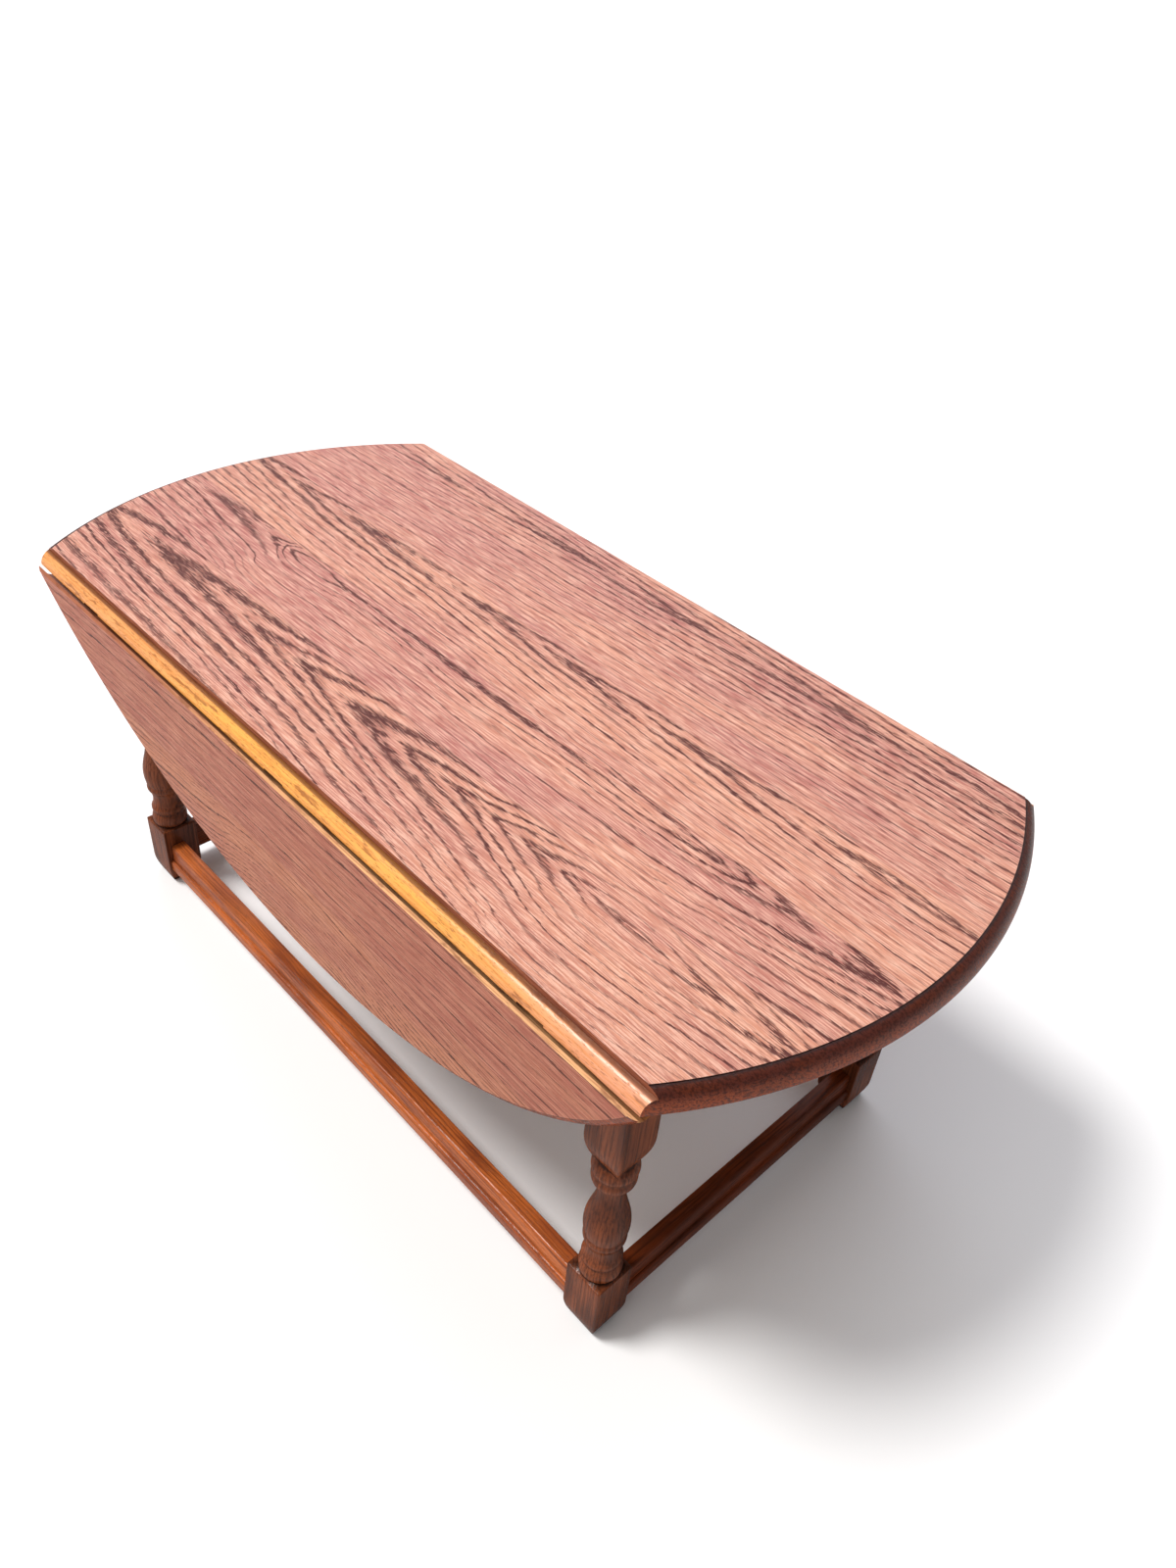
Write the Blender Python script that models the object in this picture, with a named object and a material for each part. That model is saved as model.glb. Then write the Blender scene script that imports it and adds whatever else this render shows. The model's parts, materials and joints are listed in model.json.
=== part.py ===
"""Oval drop leaf table in oak, with both leaves hanging down.

Metres, +Z up, origin on the floor under the middle of the table. +X runs along the length of
the fixed centre top, -Y is the near side. Each wooden or metal piece is its own object.
"""

import math

import bmesh
import bpy
from mathutils import Matrix, Vector

# Whole table
HEIGHT = 0.480
GAP = 0.0003

# Oval top: the flat surface is an ellipse, and the moulding stands outside it
SEMI_LENGTH = 0.552
SEMI_WIDTH = 0.500
TOP_THICKNESS = 0.020
OVOLO_RADIUS = 0.0128
STEP_DEPTH = 0.0065
HALF_FLAT = 0.2575

# Thumb moulding round the curved edges: a small step, then a quarter oval
THUMB_STEP = 0.0010
THUMB_HEIGHT = 0.0180
THUMB_LOW = HEIGHT - THUMB_STEP - THUMB_HEIGHT

# Rule joint between the centre top and a leaf
AXIS_Z = HEIGHT - STEP_DEPTH - OVOLO_RADIUS
COVE_RADIUS = OVOLO_RADIUS + 0.0026
LEAF_END_GAP = 0.0005
UNDERSIDE = HEIGHT - TOP_THICKNESS
# A hanging leaf leans in at the bottom, because its weight settles under the hinge pins
LEAF_LEAN = math.radians(4.9)

# Legs
LEG_X = 0.4148
LEG_Y = 0.2060
LEG_HALF = 0.0225
LEG_TOP = UNDERSIDE - GAP
FOOT_CURVE = 0.026
FOOT_TAPER = 0.0053
LOWER_BLOCK_TOP = 0.089
UPPER_BLOCK_BOTTOM = 0.270
UPPER_CURVE_TOP = 0.305
UPPER_TAPER = 0.0077
LEG_SIDES = 24

# Turned part of a leg: (height, radius)
TURNING = (
    (0.070, 0.0120),
    (0.084, 0.0185),
    (0.0905, 0.0202),
    (0.0950, 0.0216),
    (0.1000, 0.0217),
    (0.1050, 0.0206),
    (0.1090, 0.0188),
    (0.1108, 0.0188),
    (0.1130, 0.0201),
    (0.1170, 0.0203),
    (0.1205, 0.0187),
    (0.1260, 0.0170),
    (0.1350, 0.0168),
    (0.1430, 0.0186),
    (0.1465, 0.0207),
    (0.1510, 0.0213),
    (0.1545, 0.0204),
    (0.1600, 0.0214),
    (0.1700, 0.0224),
    (0.1810, 0.0218),
    (0.1920, 0.0195),
    (0.2040, 0.0163),
    (0.2150, 0.0141),
    (0.2260, 0.0133),
    (0.2350, 0.0138),
    (0.2395, 0.0172),
    (0.2435, 0.0207),
    (0.2490, 0.0214),
    (0.2535, 0.0200),
    (0.2560, 0.0200),
    (0.2590, 0.0218),
    (0.2640, 0.0222),
    (0.2700, 0.0204),
    (0.2780, 0.0120),
)

# Rails under the top
RAIL_THICKNESS = 0.020
RAIL_SETBACK = 0.005
RAIL_BOTTOM = 0.375
RAIL_OUTER_X = LEG_X + LEG_HALF - RAIL_SETBACK
RAIL_OUTER_Y = LEG_Y + LEG_HALF - RAIL_SETBACK
RAIL_TENON_THICKNESS = 0.008
RAIL_TENON_LENGTH = 0.020
RAIL_TENON_BOTTOM = 0.385
RAIL_TENON_TOP = 0.440

# Stretchers between the lower blocks
STRETCHER_TOP = 0.064
STRETCHER_BOTTOM = 0.0245
STRETCHER_INNER_X = 0.4119
STRETCHER_INNER_Y = 0.2031
STRETCHER_TENON_LENGTH = 0.015
STRETCHER_TENON = (0.007, 0.015, 0.032, 0.057)
# Section of a stretcher: (distance out from its inner face, height)
STRETCHER_SECTION = (
    (0.0000, 0.0245),
    (0.0216, 0.0245),
    (0.0224, 0.0255),
    (0.0224, 0.0355),
    (0.0219, 0.0380),
    (0.0204, 0.0396),
    (0.0184, 0.0402),
    (0.0184, 0.0595),
    (0.0176, 0.0622),
    (0.0160, 0.0636),
    (0.0140, 0.0640),
    (0.0000, 0.0640),
)

# Lopers, the bars that are drawn out to hold up a raised leaf
LOPER_X = 0.230
LOPER_WIDTH = 0.020
LOPER_SPLIT = 0.0115
LOPER_BOTTOM = 0.4375
LOPER_INNER_END = -0.075
PEG_RADIUS = 0.004
PEG_Y = 0.045
PEG_Z = 0.4485
PEG_REACH = 0.0075
BEARER_HALF = 0.030
BEARER_THICKNESS = 0.012
BEARER_HOUSING = 0.005

# Hinges
HINGE_X = (-0.360, 0.0, 0.360)
HINGE_HALF = 0.015
KNUCKLE_HALF = 0.005
KNUCKLE_RADIUS = 0.0027
PIN_RADIUS = 0.0012
PIN_HOLE_RADIUS = 0.0015
PLATE_BOTTOM = UNDERSIDE + 0.0002
PLATE_TOP = UNDERSIDE + 0.0016
TABLE_PLATE = 0.036
LEAF_PLATE = 0.043
RECESS_MARGIN = 0.0003

# Wooden buttons that hold the top down to the rails
BUTTON_HALF = 0.014
BUTTON_LENGTH = 0.034
BUTTON_TONGUE = 0.008
BUTTON_HEIGHT = 0.018
TONGUE_LOW = 0.4425
TONGUE_HIGH = 0.4500
BUTTON_ON_END_RAIL_Y = 0.110
BUTTON_ON_LONG_RAIL_X = 0.080


def clear_scene():
    for item in list(bpy.data.objects):
        bpy.data.objects.remove(item, do_unlink=True)


def material(name, colour, roughness, metallic=0.0):
    made = bpy.data.materials.new(name)
    made.use_nodes = True
    shader = made.node_tree.nodes["Principled BSDF"]
    shader.inputs["Base Color"].default_value = (*colour, 1.0)
    shader.inputs["Roughness"].default_value = roughness
    shader.inputs["Metallic"].default_value = metallic
    return made


def add_object(name, mesh_data, slot):
    made = bpy.data.objects.new(name, mesh_data)
    made.data.materials.clear()
    made.data.materials.append(MATERIALS[slot])
    bpy.context.scene.collection.objects.link(made)
    return made


def to_mesh(shape, name):
    bmesh.ops.recalc_face_normals(shape, faces=shape.faces)
    mesh_data = bpy.data.meshes.new(name)
    shape.to_mesh(mesh_data)
    shape.free()
    return mesh_data


def loft(rings):
    """A closed solid through rings of equally many points, with a flat cap at each end."""
    shape = bmesh.new()
    rows = [[shape.verts.new(point) for point in ring] for ring in rings]
    count = len(rows[0])
    for lower, upper in zip(rows, rows[1:]):
        for i in range(count):
            j = (i + 1) % count
            shape.faces.new((lower[i], lower[j], upper[j], upper[i]))
    shape.faces.new(rows[0])
    shape.faces.new(rows[-1])
    return shape


def box(low, high):
    corners = ((low[0], low[1]), (high[0], low[1]), (high[0], high[1]), (low[0], high[1]))
    rings = [[(x, y, z) for x, y in corners] for z in (low[2], high[2])]
    return loft(rings)


def prism_along_x(section, low, high):
    return loft([[(x, y, z) for y, z in section] for x in (low, high)])


def cylinder_along_x(y, z, radius, low, high, sides):
    angles = [2 * math.pi * i / sides for i in range(sides)]
    section = [(y + radius * math.cos(t), z + radius * math.sin(t)) for t in angles]
    return prism_along_x(section, low, high)


def helper(shape):
    """An unrendered object that a Boolean takes material from or adds to."""
    made = bpy.data.objects.new("helper", to_mesh(shape, "helper"))
    made.hide_render = True
    made.display_type = "WIRE"
    bpy.context.scene.collection.objects.link(made)
    return made


def shaped(shape, joined=(), cut=()):
    """The mesh of a solid after other solids are joined to it and cut from it."""
    base = helper(shape)
    tools = []
    for operation, solids in (("UNION", joined), ("DIFFERENCE", cut)):
        for solid in solids:
            tool = helper(solid)
            change = base.modifiers.new("shape", "BOOLEAN")
            change.operation = operation
            change.solver = "EXACT"
            change.object = tool
            tools.append(tool)
    bpy.context.view_layer.update()
    graph = bpy.context.evaluated_depsgraph_get()
    result = bpy.data.meshes.new_from_object(base.evaluated_get(graph))
    for item in [base] + tools:
        bpy.data.objects.remove(item, do_unlink=True)
    return cleaned(result)


def cleaned(mesh_data):
    shape = bmesh.new()
    shape.from_mesh(mesh_data)
    bmesh.ops.remove_doubles(shape, verts=shape.verts, dist=1e-6)
    bmesh.ops.dissolve_degenerate(shape, edges=shape.edges, dist=1e-6)
    shape.to_mesh(mesh_data)
    shape.free()
    return mesh_data


def smoothed(mesh_data):
    mesh_data.polygons.foreach_set("use_smooth", [True] * len(mesh_data.polygons))
    mesh_data.set_sharp_from_angle(angle=math.radians(28))
    return mesh_data


def moved(mesh_data, matrix):
    mesh_data.transform(matrix)
    if matrix.determinant() < 0:
        mesh_data.flip_normals()
    return mesh_data


def place(name, mesh_data, slot, origin=(0, 0, 0)):
    """Adds a piece whose mesh is in table coordinates, with its own origin at the given point."""
    mesh_data.transform(Matrix.Translation(-Vector(origin)))
    made = add_object(name, smoothed(mesh_data), slot)
    made.location = origin
    return made


# Oval outline


def outline_point(angle, offset):
    """A point of the ellipse, moved outwards square to it."""
    normal = Vector((math.cos(angle) / SEMI_LENGTH, math.sin(angle) / SEMI_WIDTH))
    normal.normalize()
    on_ellipse = Vector((SEMI_LENGTH * math.cos(angle), SEMI_WIDTH * math.sin(angle)))
    return on_ellipse + offset * normal


def angle_at_width(y, offset):
    """The angle, on the +X side, at which the offset ellipse reaches the given y."""
    low, high = -math.pi / 2, math.pi / 2
    for _ in range(60):
        middle = (low + high) / 2
        if outline_point(middle, offset).y < y:
            low = middle
        else:
            high = middle
    return (low + high) / 2


def quarter_levels(low, rise, steps):
    """Heights of even steps round a quarter turn, from its top down to low."""
    return [low + rise * math.cos(math.pi / 2 * i / steps) for i in range(steps + 1)]


def edge_levels():
    """Every height at which the moulded edges are drawn, from the top down."""
    levels = [HEIGHT, UNDERSIDE]
    levels += quarter_levels(THUMB_LOW, THUMB_HEIGHT, 8)
    levels += quarter_levels(AXIS_Z, OVOLO_RADIUS, 6)
    levels.sort(reverse=True)
    return [z for i, z in enumerate(levels) if i == 0 or levels[i - 1] - z > 0.00005]


def curved_offset(z):
    """How far the thumb moulding stands out at a height."""
    if z > HEIGHT - THUMB_STEP + 1e-6:
        return 0.0
    share = min(1.0, max(0.0, (z - THUMB_LOW) / THUMB_HEIGHT))
    return OVOLO_RADIUS * math.sqrt(1 - share * share)


def straight_offset(z):
    """How far the rule joint's quarter round stands out at a height."""
    share = min(1.0, max(0.0, (z - AXIS_Z) / OVOLO_RADIUS))
    return OVOLO_RADIUS * math.sqrt(1 - share * share)


def centre_ring(z):
    offset = curved_offset(z)
    reach = angle_at_width(HALF_FLAT + straight_offset(z), offset)
    count = 30
    turns = [-reach + 2 * reach * i / count for i in range(count + 1)]
    right = [outline_point(turn, offset) for turn in turns]
    ring = [(p.x, p.y, z) for p in right]
    ring += [(-p.x, p.y, z) for p in reversed(right)]
    return ring


def leaf_ring(z):
    """Outline of the raised +Y leaf at one height of its edge."""
    offset = curved_offset(z)
    start = angle_at_width(HALF_FLAT + LEAF_END_GAP, offset)
    count = 56
    turns = [start + (math.pi - 2 * start) * i / count for i in range(count + 1)]
    points = [outline_point(turn, offset) for turn in turns]
    return [(p.x, p.y, z) for p in points]


# Rule joint hinges, drawn for the +Y leaf while it is raised


def centre_hinge_recess(x):
    """Housing under the centre top for a plate, the knuckle and the sweep of the leaf's plate."""
    low = UNDERSIDE - 0.003
    deep = AXIS_Z + KNUCKLE_RADIUS + 0.0006
    section = (
        (HALF_FLAT - TABLE_PLATE - RECESS_MARGIN, low),
        (HALF_FLAT + OVOLO_RADIUS + 0.002, low),
        (HALF_FLAT + OVOLO_RADIUS + 0.002, PLATE_TOP + 0.0008),
        (HALF_FLAT + 0.0036, PLATE_TOP + 0.0008),
        (HALF_FLAT + 0.0036, deep),
        (HALF_FLAT - 0.0036, deep),
        (HALF_FLAT - 0.0036, PLATE_TOP + RECESS_MARGIN),
        (HALF_FLAT - TABLE_PLATE - RECESS_MARGIN, PLATE_TOP + RECESS_MARGIN),
    )
    half = HINGE_HALF + 0.0006
    return prism_along_x(section, x - half, x + half)


def leaf_hinge_recess(x):
    half = HINGE_HALF + RECESS_MARGIN
    low = (x - half, HALF_FLAT + COVE_RADIUS - 0.002, UNDERSIDE - 0.003)
    high = (x + half, HALF_FLAT + LEAF_PLATE + RECESS_MARGIN, PLATE_TOP + RECESS_MARGIN)
    return box(low, high)


def knuckle(x_low, x_high):
    return cylinder_along_x(HALF_FLAT, AXIS_Z, KNUCKLE_RADIUS, x_low, x_high, 16)


def pin_hole(x):
    reach = HINGE_HALF + 0.005
    return cylinder_along_x(HALF_FLAT, AXIS_Z, PIN_HOLE_RADIUS, x - reach, x + reach, 12)


def table_plate_mesh(x):
    """Plate under the centre top, with an outer knuckle at each end of the pin."""
    plate = box(
        (x - HINGE_HALF, HALF_FLAT - TABLE_PLATE, PLATE_BOTTOM),
        (x + HINGE_HALF, HALF_FLAT - 0.0034, PLATE_TOP),
    )
    joined = []
    for low, high in ((-HINGE_HALF, -KNUCKLE_HALF), (KNUCKLE_HALF, HINGE_HALF)):
        tab_low = (x + low, HALF_FLAT - 0.006, PLATE_BOTTOM)
        tab_high = (x + high, HALF_FLAT - 0.0018, PLATE_TOP)
        joined.append(box(tab_low, tab_high))
        joined.append(knuckle(x + low, x + high))
    return shaped(plate, joined, [pin_hole(x)])


def leaf_plate_mesh(x):
    """Plate under the leaf, with the middle knuckle on a tongue that crosses the joint."""
    plate = box(
        (x - HINGE_HALF, HALF_FLAT + 0.0034, PLATE_BOTTOM),
        (x + HINGE_HALF, HALF_FLAT + LEAF_PLATE, PLATE_TOP),
    )
    half = KNUCKLE_HALF - GAP
    tongue = box(
        (x - half, HALF_FLAT + 0.0018, PLATE_BOTTOM),
        (x + half, HALF_FLAT + 0.006, PLATE_TOP),
    )
    return shaped(plate, [tongue, knuckle(x - half, x + half)], [pin_hole(x)])


def side_matrix(side):
    """Turns a piece drawn for the +Y side into the one for the given side."""
    return Matrix.Scale(side, 4, (0, 1, 0))


def hanging(side):
    """Swings a raised +Y leaf down until it hangs, then puts it on its own side."""
    pivot = Vector((0, HALF_FLAT, AXIS_Z))
    swing = Matrix.Translation(pivot) @ Matrix.Rotation(-math.pi / 2 - LEAF_LEAN, 4, "X")
    return side_matrix(side) @ swing @ Matrix.Translation(-pivot)


# The top and its leaves


def cove_cutter():
    steps = 10
    section = [(HALF_FLAT - 0.03, AXIS_Z - 0.01), (HALF_FLAT + COVE_RADIUS, AXIS_Z - 0.01)]
    for i in range(steps + 1):
        turn = math.pi / 2 * i / steps
        y = HALF_FLAT + COVE_RADIUS * math.cos(turn)
        section.append((y, AXIS_Z + COVE_RADIUS * math.sin(turn)))
    section.append((HALF_FLAT - 0.03, AXIS_Z + COVE_RADIUS))
    return prism_along_x(section, -0.7, 0.7)


def add_centre_top():
    shape = loft([centre_ring(z) for z in edge_levels()])
    recesses = []
    for x in HINGE_X:
        near = centre_hinge_recess(x)
        bmesh.ops.transform(near, matrix=side_matrix(-1), verts=near.verts)
        recesses += [centre_hinge_recess(x), near]
    place("centre_top", shaped(shape, cut=recesses), "oak_top")


def add_leaf(name, side):
    shape = loft([leaf_ring(z) for z in edge_levels()])
    cut = [cove_cutter()] + [leaf_hinge_recess(x) for x in HINGE_X]
    mesh_data = moved(shaped(shape, cut=cut), hanging(side))
    place(name, mesh_data, "oak_leaf", (0, side * HALF_FLAT, AXIS_Z))


def add_hinges(side_name, side):
    for x, spot in zip(HINGE_X, ("left", "middle", "right")):
        label = f"{side_name}_{spot}"
        origin = (x, side * HALF_FLAT, AXIS_Z)
        fixed = moved(table_plate_mesh(x), side_matrix(side))
        place(f"hinge_top_plate_{label}", fixed, "brass", origin)
        swinging = moved(leaf_plate_mesh(x), hanging(side))
        place(f"hinge_leaf_plate_{label}", swinging, "brass", origin)
        pin = cylinder_along_x(
            HALF_FLAT, AXIS_Z, PIN_RADIUS, x - HINGE_HALF, x + HINGE_HALF, 12
        )
        pin_mesh = moved(to_mesh(pin, "pin"), side_matrix(side))
        place(f"hinge_pin_{label}", pin_mesh, "steel", origin)


# Legs


def square_ring(half, z):
    return [(-half, -half, z), (half, -half, z), (half, half, z), (-half, half, z)]


def lower_block():
    steps = 5
    rings = []
    for i in range(steps + 1):
        z = FOOT_CURVE * i / steps
        rings.append(square_ring(LEG_HALF - FOOT_TAPER * (1 - i / steps) ** 2, z))
    rings.append(square_ring(LEG_HALF, LOWER_BLOCK_TOP))
    return loft(rings)


def upper_block():
    steps = 6
    rings = []
    for i in range(steps + 1):
        z = UPPER_BLOCK_BOTTOM + (UPPER_CURVE_TOP - UPPER_BLOCK_BOTTOM) * i / steps
        rings.append(square_ring(LEG_HALF - UPPER_TAPER * (1 - i / steps) ** 2, z))
    rings.append(square_ring(LEG_HALF, LEG_TOP))
    return loft(rings)


def turned_part():
    rings = []
    for z, radius in TURNING:
        turns = [2 * math.pi * (i + 0.5) / LEG_SIDES for i in range(LEG_SIDES)]
        rings.append([(radius * math.cos(t), radius * math.sin(t), z) for t in turns])
    return loft(rings)


def mortise(low, high):
    """A hole that fits a tenon with a thin gap all round it."""
    spare = Vector((GAP, GAP, GAP))
    return box(Vector(low) - spare, Vector(high) + spare)


def leg_mortises():
    """Holes in the +X, +Y leg for the tenons of the rails and stretchers, about its own axis."""
    rail_y = RAIL_OUTER_Y - RAIL_THICKNESS / 2 - LEG_Y
    rail_x = RAIL_OUTER_X - RAIL_THICKNESS / 2 - LEG_X
    half = RAIL_TENON_THICKNESS / 2
    deep = -LEG_HALF + RAIL_TENON_LENGTH
    first, last, bottom, top = STRETCHER_TENON
    low_y = STRETCHER_INNER_Y - LEG_Y
    low_x = STRETCHER_INNER_X - LEG_X
    shallow = -LEG_HALF + STRETCHER_TENON_LENGTH
    outside = -LEG_HALF - 0.005
    return [
        mortise((outside, rail_y - half, RAIL_TENON_BOTTOM), (deep, rail_y + half, RAIL_TENON_TOP)),
        mortise((rail_x - half, outside, RAIL_TENON_BOTTOM), (rail_x + half, deep, RAIL_TENON_TOP)),
        mortise((outside, low_y + first, bottom), (shallow, low_y + last, top)),
        mortise((low_x + first, outside, bottom), (low_x + last, shallow, top)),
    ]


def add_legs():
    for y_name, y_side in (("near", -1), ("far", 1)):
        for x_name, x_side in (("left", -1), ("right", 1)):
            solids = [lower_block(), upper_block()]
            mesh_data = shaped(turned_part(), solids, leg_mortises())
            corner = Matrix.Diagonal((x_side, y_side, 1, 1))
            leg = moved(mesh_data, corner)
            spot = (x_side * LEG_X, y_side * LEG_Y, 0)
            leg.transform(Matrix.Translation(spot))
            place(f"leg_{y_name}_{x_name}", leg, "oak_dark", spot)


# Rails


def rail_solid(reach, outer):
    """A rail along X on the +Y side, from leg to leg, with a tenon at each end."""
    end = reach - LEG_HALF - GAP
    inner = outer - RAIL_THICKNESS
    middle = outer - RAIL_THICKNESS / 2
    half = RAIL_TENON_THICKNESS / 2
    tip = reach - LEG_HALF + RAIL_TENON_LENGTH - GAP
    body = box((-end, inner, RAIL_BOTTOM), (end, outer, UNDERSIDE - GAP))
    tenon = box(
        (-tip, middle - half, RAIL_TENON_BOTTOM), (tip, middle + half, RAIL_TENON_TOP)
    )
    return body, tenon


def long_rail_cuts():
    """Notches for the lopers, housings for their bearers and slots for the buttons."""
    cuts = []
    inner = RAIL_OUTER_Y - RAIL_THICKNESS
    notch = LOPER_SPLIT + LOPER_WIDTH / 2 + 2 * GAP
    bearer_top = LOPER_BOTTOM - GAP
    for x in (-LOPER_X, LOPER_X):
        low = (x - notch, inner - 0.01, bearer_top)
        cuts.append(box(low, (x + notch, RAIL_OUTER_Y + 0.01, HEIGHT)))
        low = (x - BEARER_HALF - GAP, inner - 0.01, bearer_top - BEARER_THICKNESS - GAP)
        high = (x + BEARER_HALF + GAP, inner + BEARER_HOUSING + GAP, bearer_top + GAP)
        cuts.append(box(low, high))
    for x in (-BUTTON_ON_LONG_RAIL_X, BUTTON_ON_LONG_RAIL_X):
        cuts.append(button_slot(x, inner))
    return cuts


def button_slot(x, inner):
    low = (x - BUTTON_HALF - GAP, inner - 0.01, TONGUE_LOW - GAP)
    high = (x + BUTTON_HALF + GAP, inner + BUTTON_TONGUE + GAP, TONGUE_HIGH + GAP)
    return box(low, high)


def quarter_turn(side):
    """Turns a piece drawn along X on the +Y side to run along Y on the given X side."""
    return Matrix.Rotation(-side * math.pi / 2, 4, "Z")


def add_rails():
    for name, side in (("near", -1), ("far", 1)):
        body, tenon = rail_solid(LEG_X, RAIL_OUTER_Y)
        mesh_data = shaped(body, [tenon], long_rail_cuts())
        place(f"rail_{name}", moved(mesh_data, side_matrix(side)), "oak_dark")
    inner = RAIL_OUTER_X - RAIL_THICKNESS
    for name, side in (("left", -1), ("right", 1)):
        body, tenon = rail_solid(LEG_Y, RAIL_OUTER_X)
        slots = [button_slot(y, inner) for y in (-BUTTON_ON_END_RAIL_Y, BUTTON_ON_END_RAIL_Y)]
        mesh_data = shaped(body, [tenon], slots)
        place(f"rail_{name}", moved(mesh_data, quarter_turn(side)), "oak_dark")


# Stretchers


def stretcher_mesh(reach, inner):
    """A moulded stretcher along X on the +Y side, with a tenon at each end."""
    end = reach - LEG_HALF - GAP
    tip = reach - LEG_HALF + STRETCHER_TENON_LENGTH - GAP
    section = [(inner + out, z) for out, z in STRETCHER_SECTION]
    first, last, bottom, top = STRETCHER_TENON
    tenon = box((-tip, inner + first, bottom), (tip, inner + last, top))
    return shaped(prism_along_x(section, -end, end), [tenon])


def add_stretchers():
    for name, side in (("near", -1), ("far", 1)):
        mesh_data = stretcher_mesh(LEG_X, STRETCHER_INNER_Y)
        place(f"stretcher_{name}", moved(mesh_data, side_matrix(side)), "oak_stretcher")
    for name, side in (("left", -1), ("right", 1)):
        mesh_data = stretcher_mesh(LEG_Y, STRETCHER_INNER_X)
        place(f"stretcher_{name}", moved(mesh_data, quarter_turn(side)), "oak_stretcher")


# Leaf supports and top fixings


def add_loper(label, x, outward, side):
    """A sliding bar and its stop peg. The peg stands out on the side away from the other bar."""
    half = LOPER_WIDTH / 2 - GAP
    top = UNDERSIDE - 2 * GAP
    bar = box((x - half, LOPER_INNER_END, LOPER_BOTTOM), (x + half, RAIL_OUTER_Y, top))
    reach = half + PEG_REACH
    peg_ends = sorted((x - outward * half, x + outward * reach))
    hole = cylinder_along_x(PEG_Y, PEG_Z, PEG_RADIUS + GAP, x - 0.02, x + 0.02, 16)
    peg = cylinder_along_x(PEG_Y, PEG_Z, PEG_RADIUS, *peg_ends, 16)
    origin = (x, side * RAIL_OUTER_Y, (LOPER_BOTTOM + top) / 2)
    bar_mesh = moved(shaped(bar, cut=[hole]), side_matrix(side))
    place(f"loper_{label}", bar_mesh, "oak_hidden", origin)
    peg_mesh = moved(to_mesh(peg, "peg"), side_matrix(side))
    place(f"loper_stop_peg_{label}", peg_mesh, "beech", origin)


def add_lopers():
    for end_name, end in (("left", -1), ("right", 1)):
        add_loper(f"near_{end_name}", end * (LOPER_X + LOPER_SPLIT), end, -1)
        add_loper(f"far_{end_name}", end * (LOPER_X - LOPER_SPLIT), -end, 1)
        x = end * LOPER_X
        reach = RAIL_OUTER_Y - RAIL_THICKNESS + BEARER_HOUSING
        top = LOPER_BOTTOM - GAP
        low = (x - BEARER_HALF, -reach, top - BEARER_THICKNESS)
        bearer = to_mesh(box(low, (x + BEARER_HALF, reach, top)), "bearer")
        place(f"loper_bearer_{end_name}", bearer, "oak_hidden")


def button_mesh(x, inner):
    """A block under the top with a tongue in the slot of a rail on the +Y side."""
    face = inner - GAP
    low = (x - BUTTON_HALF, face - BUTTON_LENGTH, UNDERSIDE - GAP - BUTTON_HEIGHT)
    block = box(low, (x + BUTTON_HALF, face, UNDERSIDE - GAP))
    tongue = box(
        (x - BUTTON_HALF, face - 0.010, TONGUE_LOW),
        (x + BUTTON_HALF, inner + BUTTON_TONGUE, TONGUE_HIGH),
    )
    return shaped(block, [tongue])


def add_buttons():
    inner_x = RAIL_OUTER_X - RAIL_THICKNESS
    inner_y = RAIL_OUTER_Y - RAIL_THICKNESS
    for end_name, end in (("left", -1), ("right", 1)):
        for side_name, side in (("near", -1), ("far", 1)):
            along = -end * side * BUTTON_ON_END_RAIL_Y
            mesh_data = moved(button_mesh(along, inner_x), quarter_turn(end))
            place(f"top_button_{end_name}_{side_name}", mesh_data, "oak_hidden")
            mesh_data = button_mesh(end * BUTTON_ON_LONG_RAIL_X, inner_y)
            mesh_data = moved(mesh_data, side_matrix(side))
            place(f"top_button_long_{side_name}_{end_name}", mesh_data, "oak_hidden")


clear_scene()
MATERIALS = {
    "oak_top": material("oak_top", (0.50, 0.24, 0.17), 0.35),
    "oak_leaf": material("oak_leaf", (0.36, 0.16, 0.12), 0.35),
    "oak_dark": material("oak_dark", (0.11, 0.050, 0.033), 0.35),
    "oak_stretcher": material("oak_stretcher", (0.19, 0.075, 0.030), 0.35),
    "oak_hidden": material("oak_hidden", (0.36, 0.22, 0.12), 0.6),
    "beech": material("beech", (0.55, 0.38, 0.22), 0.6),
    "brass": material("brass", (0.62, 0.45, 0.20), 0.35, 1.0),
    "steel": material("steel", (0.45, 0.45, 0.45), 0.35, 1.0),
}
add_centre_top()
add_leaf("leaf_near", -1)
add_leaf("leaf_far", 1)
add_hinges("near", -1)
add_hinges("far", 1)
add_legs()
add_rails()
add_stretchers()
add_lopers()
add_buttons()
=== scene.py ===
"""Looks for the oval drop leaf table: fine meshes, stained oak, brass and a plain pale studio.

Metres, +Z up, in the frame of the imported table. The flat top is an ellipse with a moulded edge.
Leaves and hinges are drawn for the raised +Y leaf, then swung down and mirrored into place.
"""

import json
import math
from collections import namedtuple

import bmesh
import bpy
from mathutils import Matrix, Vector


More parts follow.
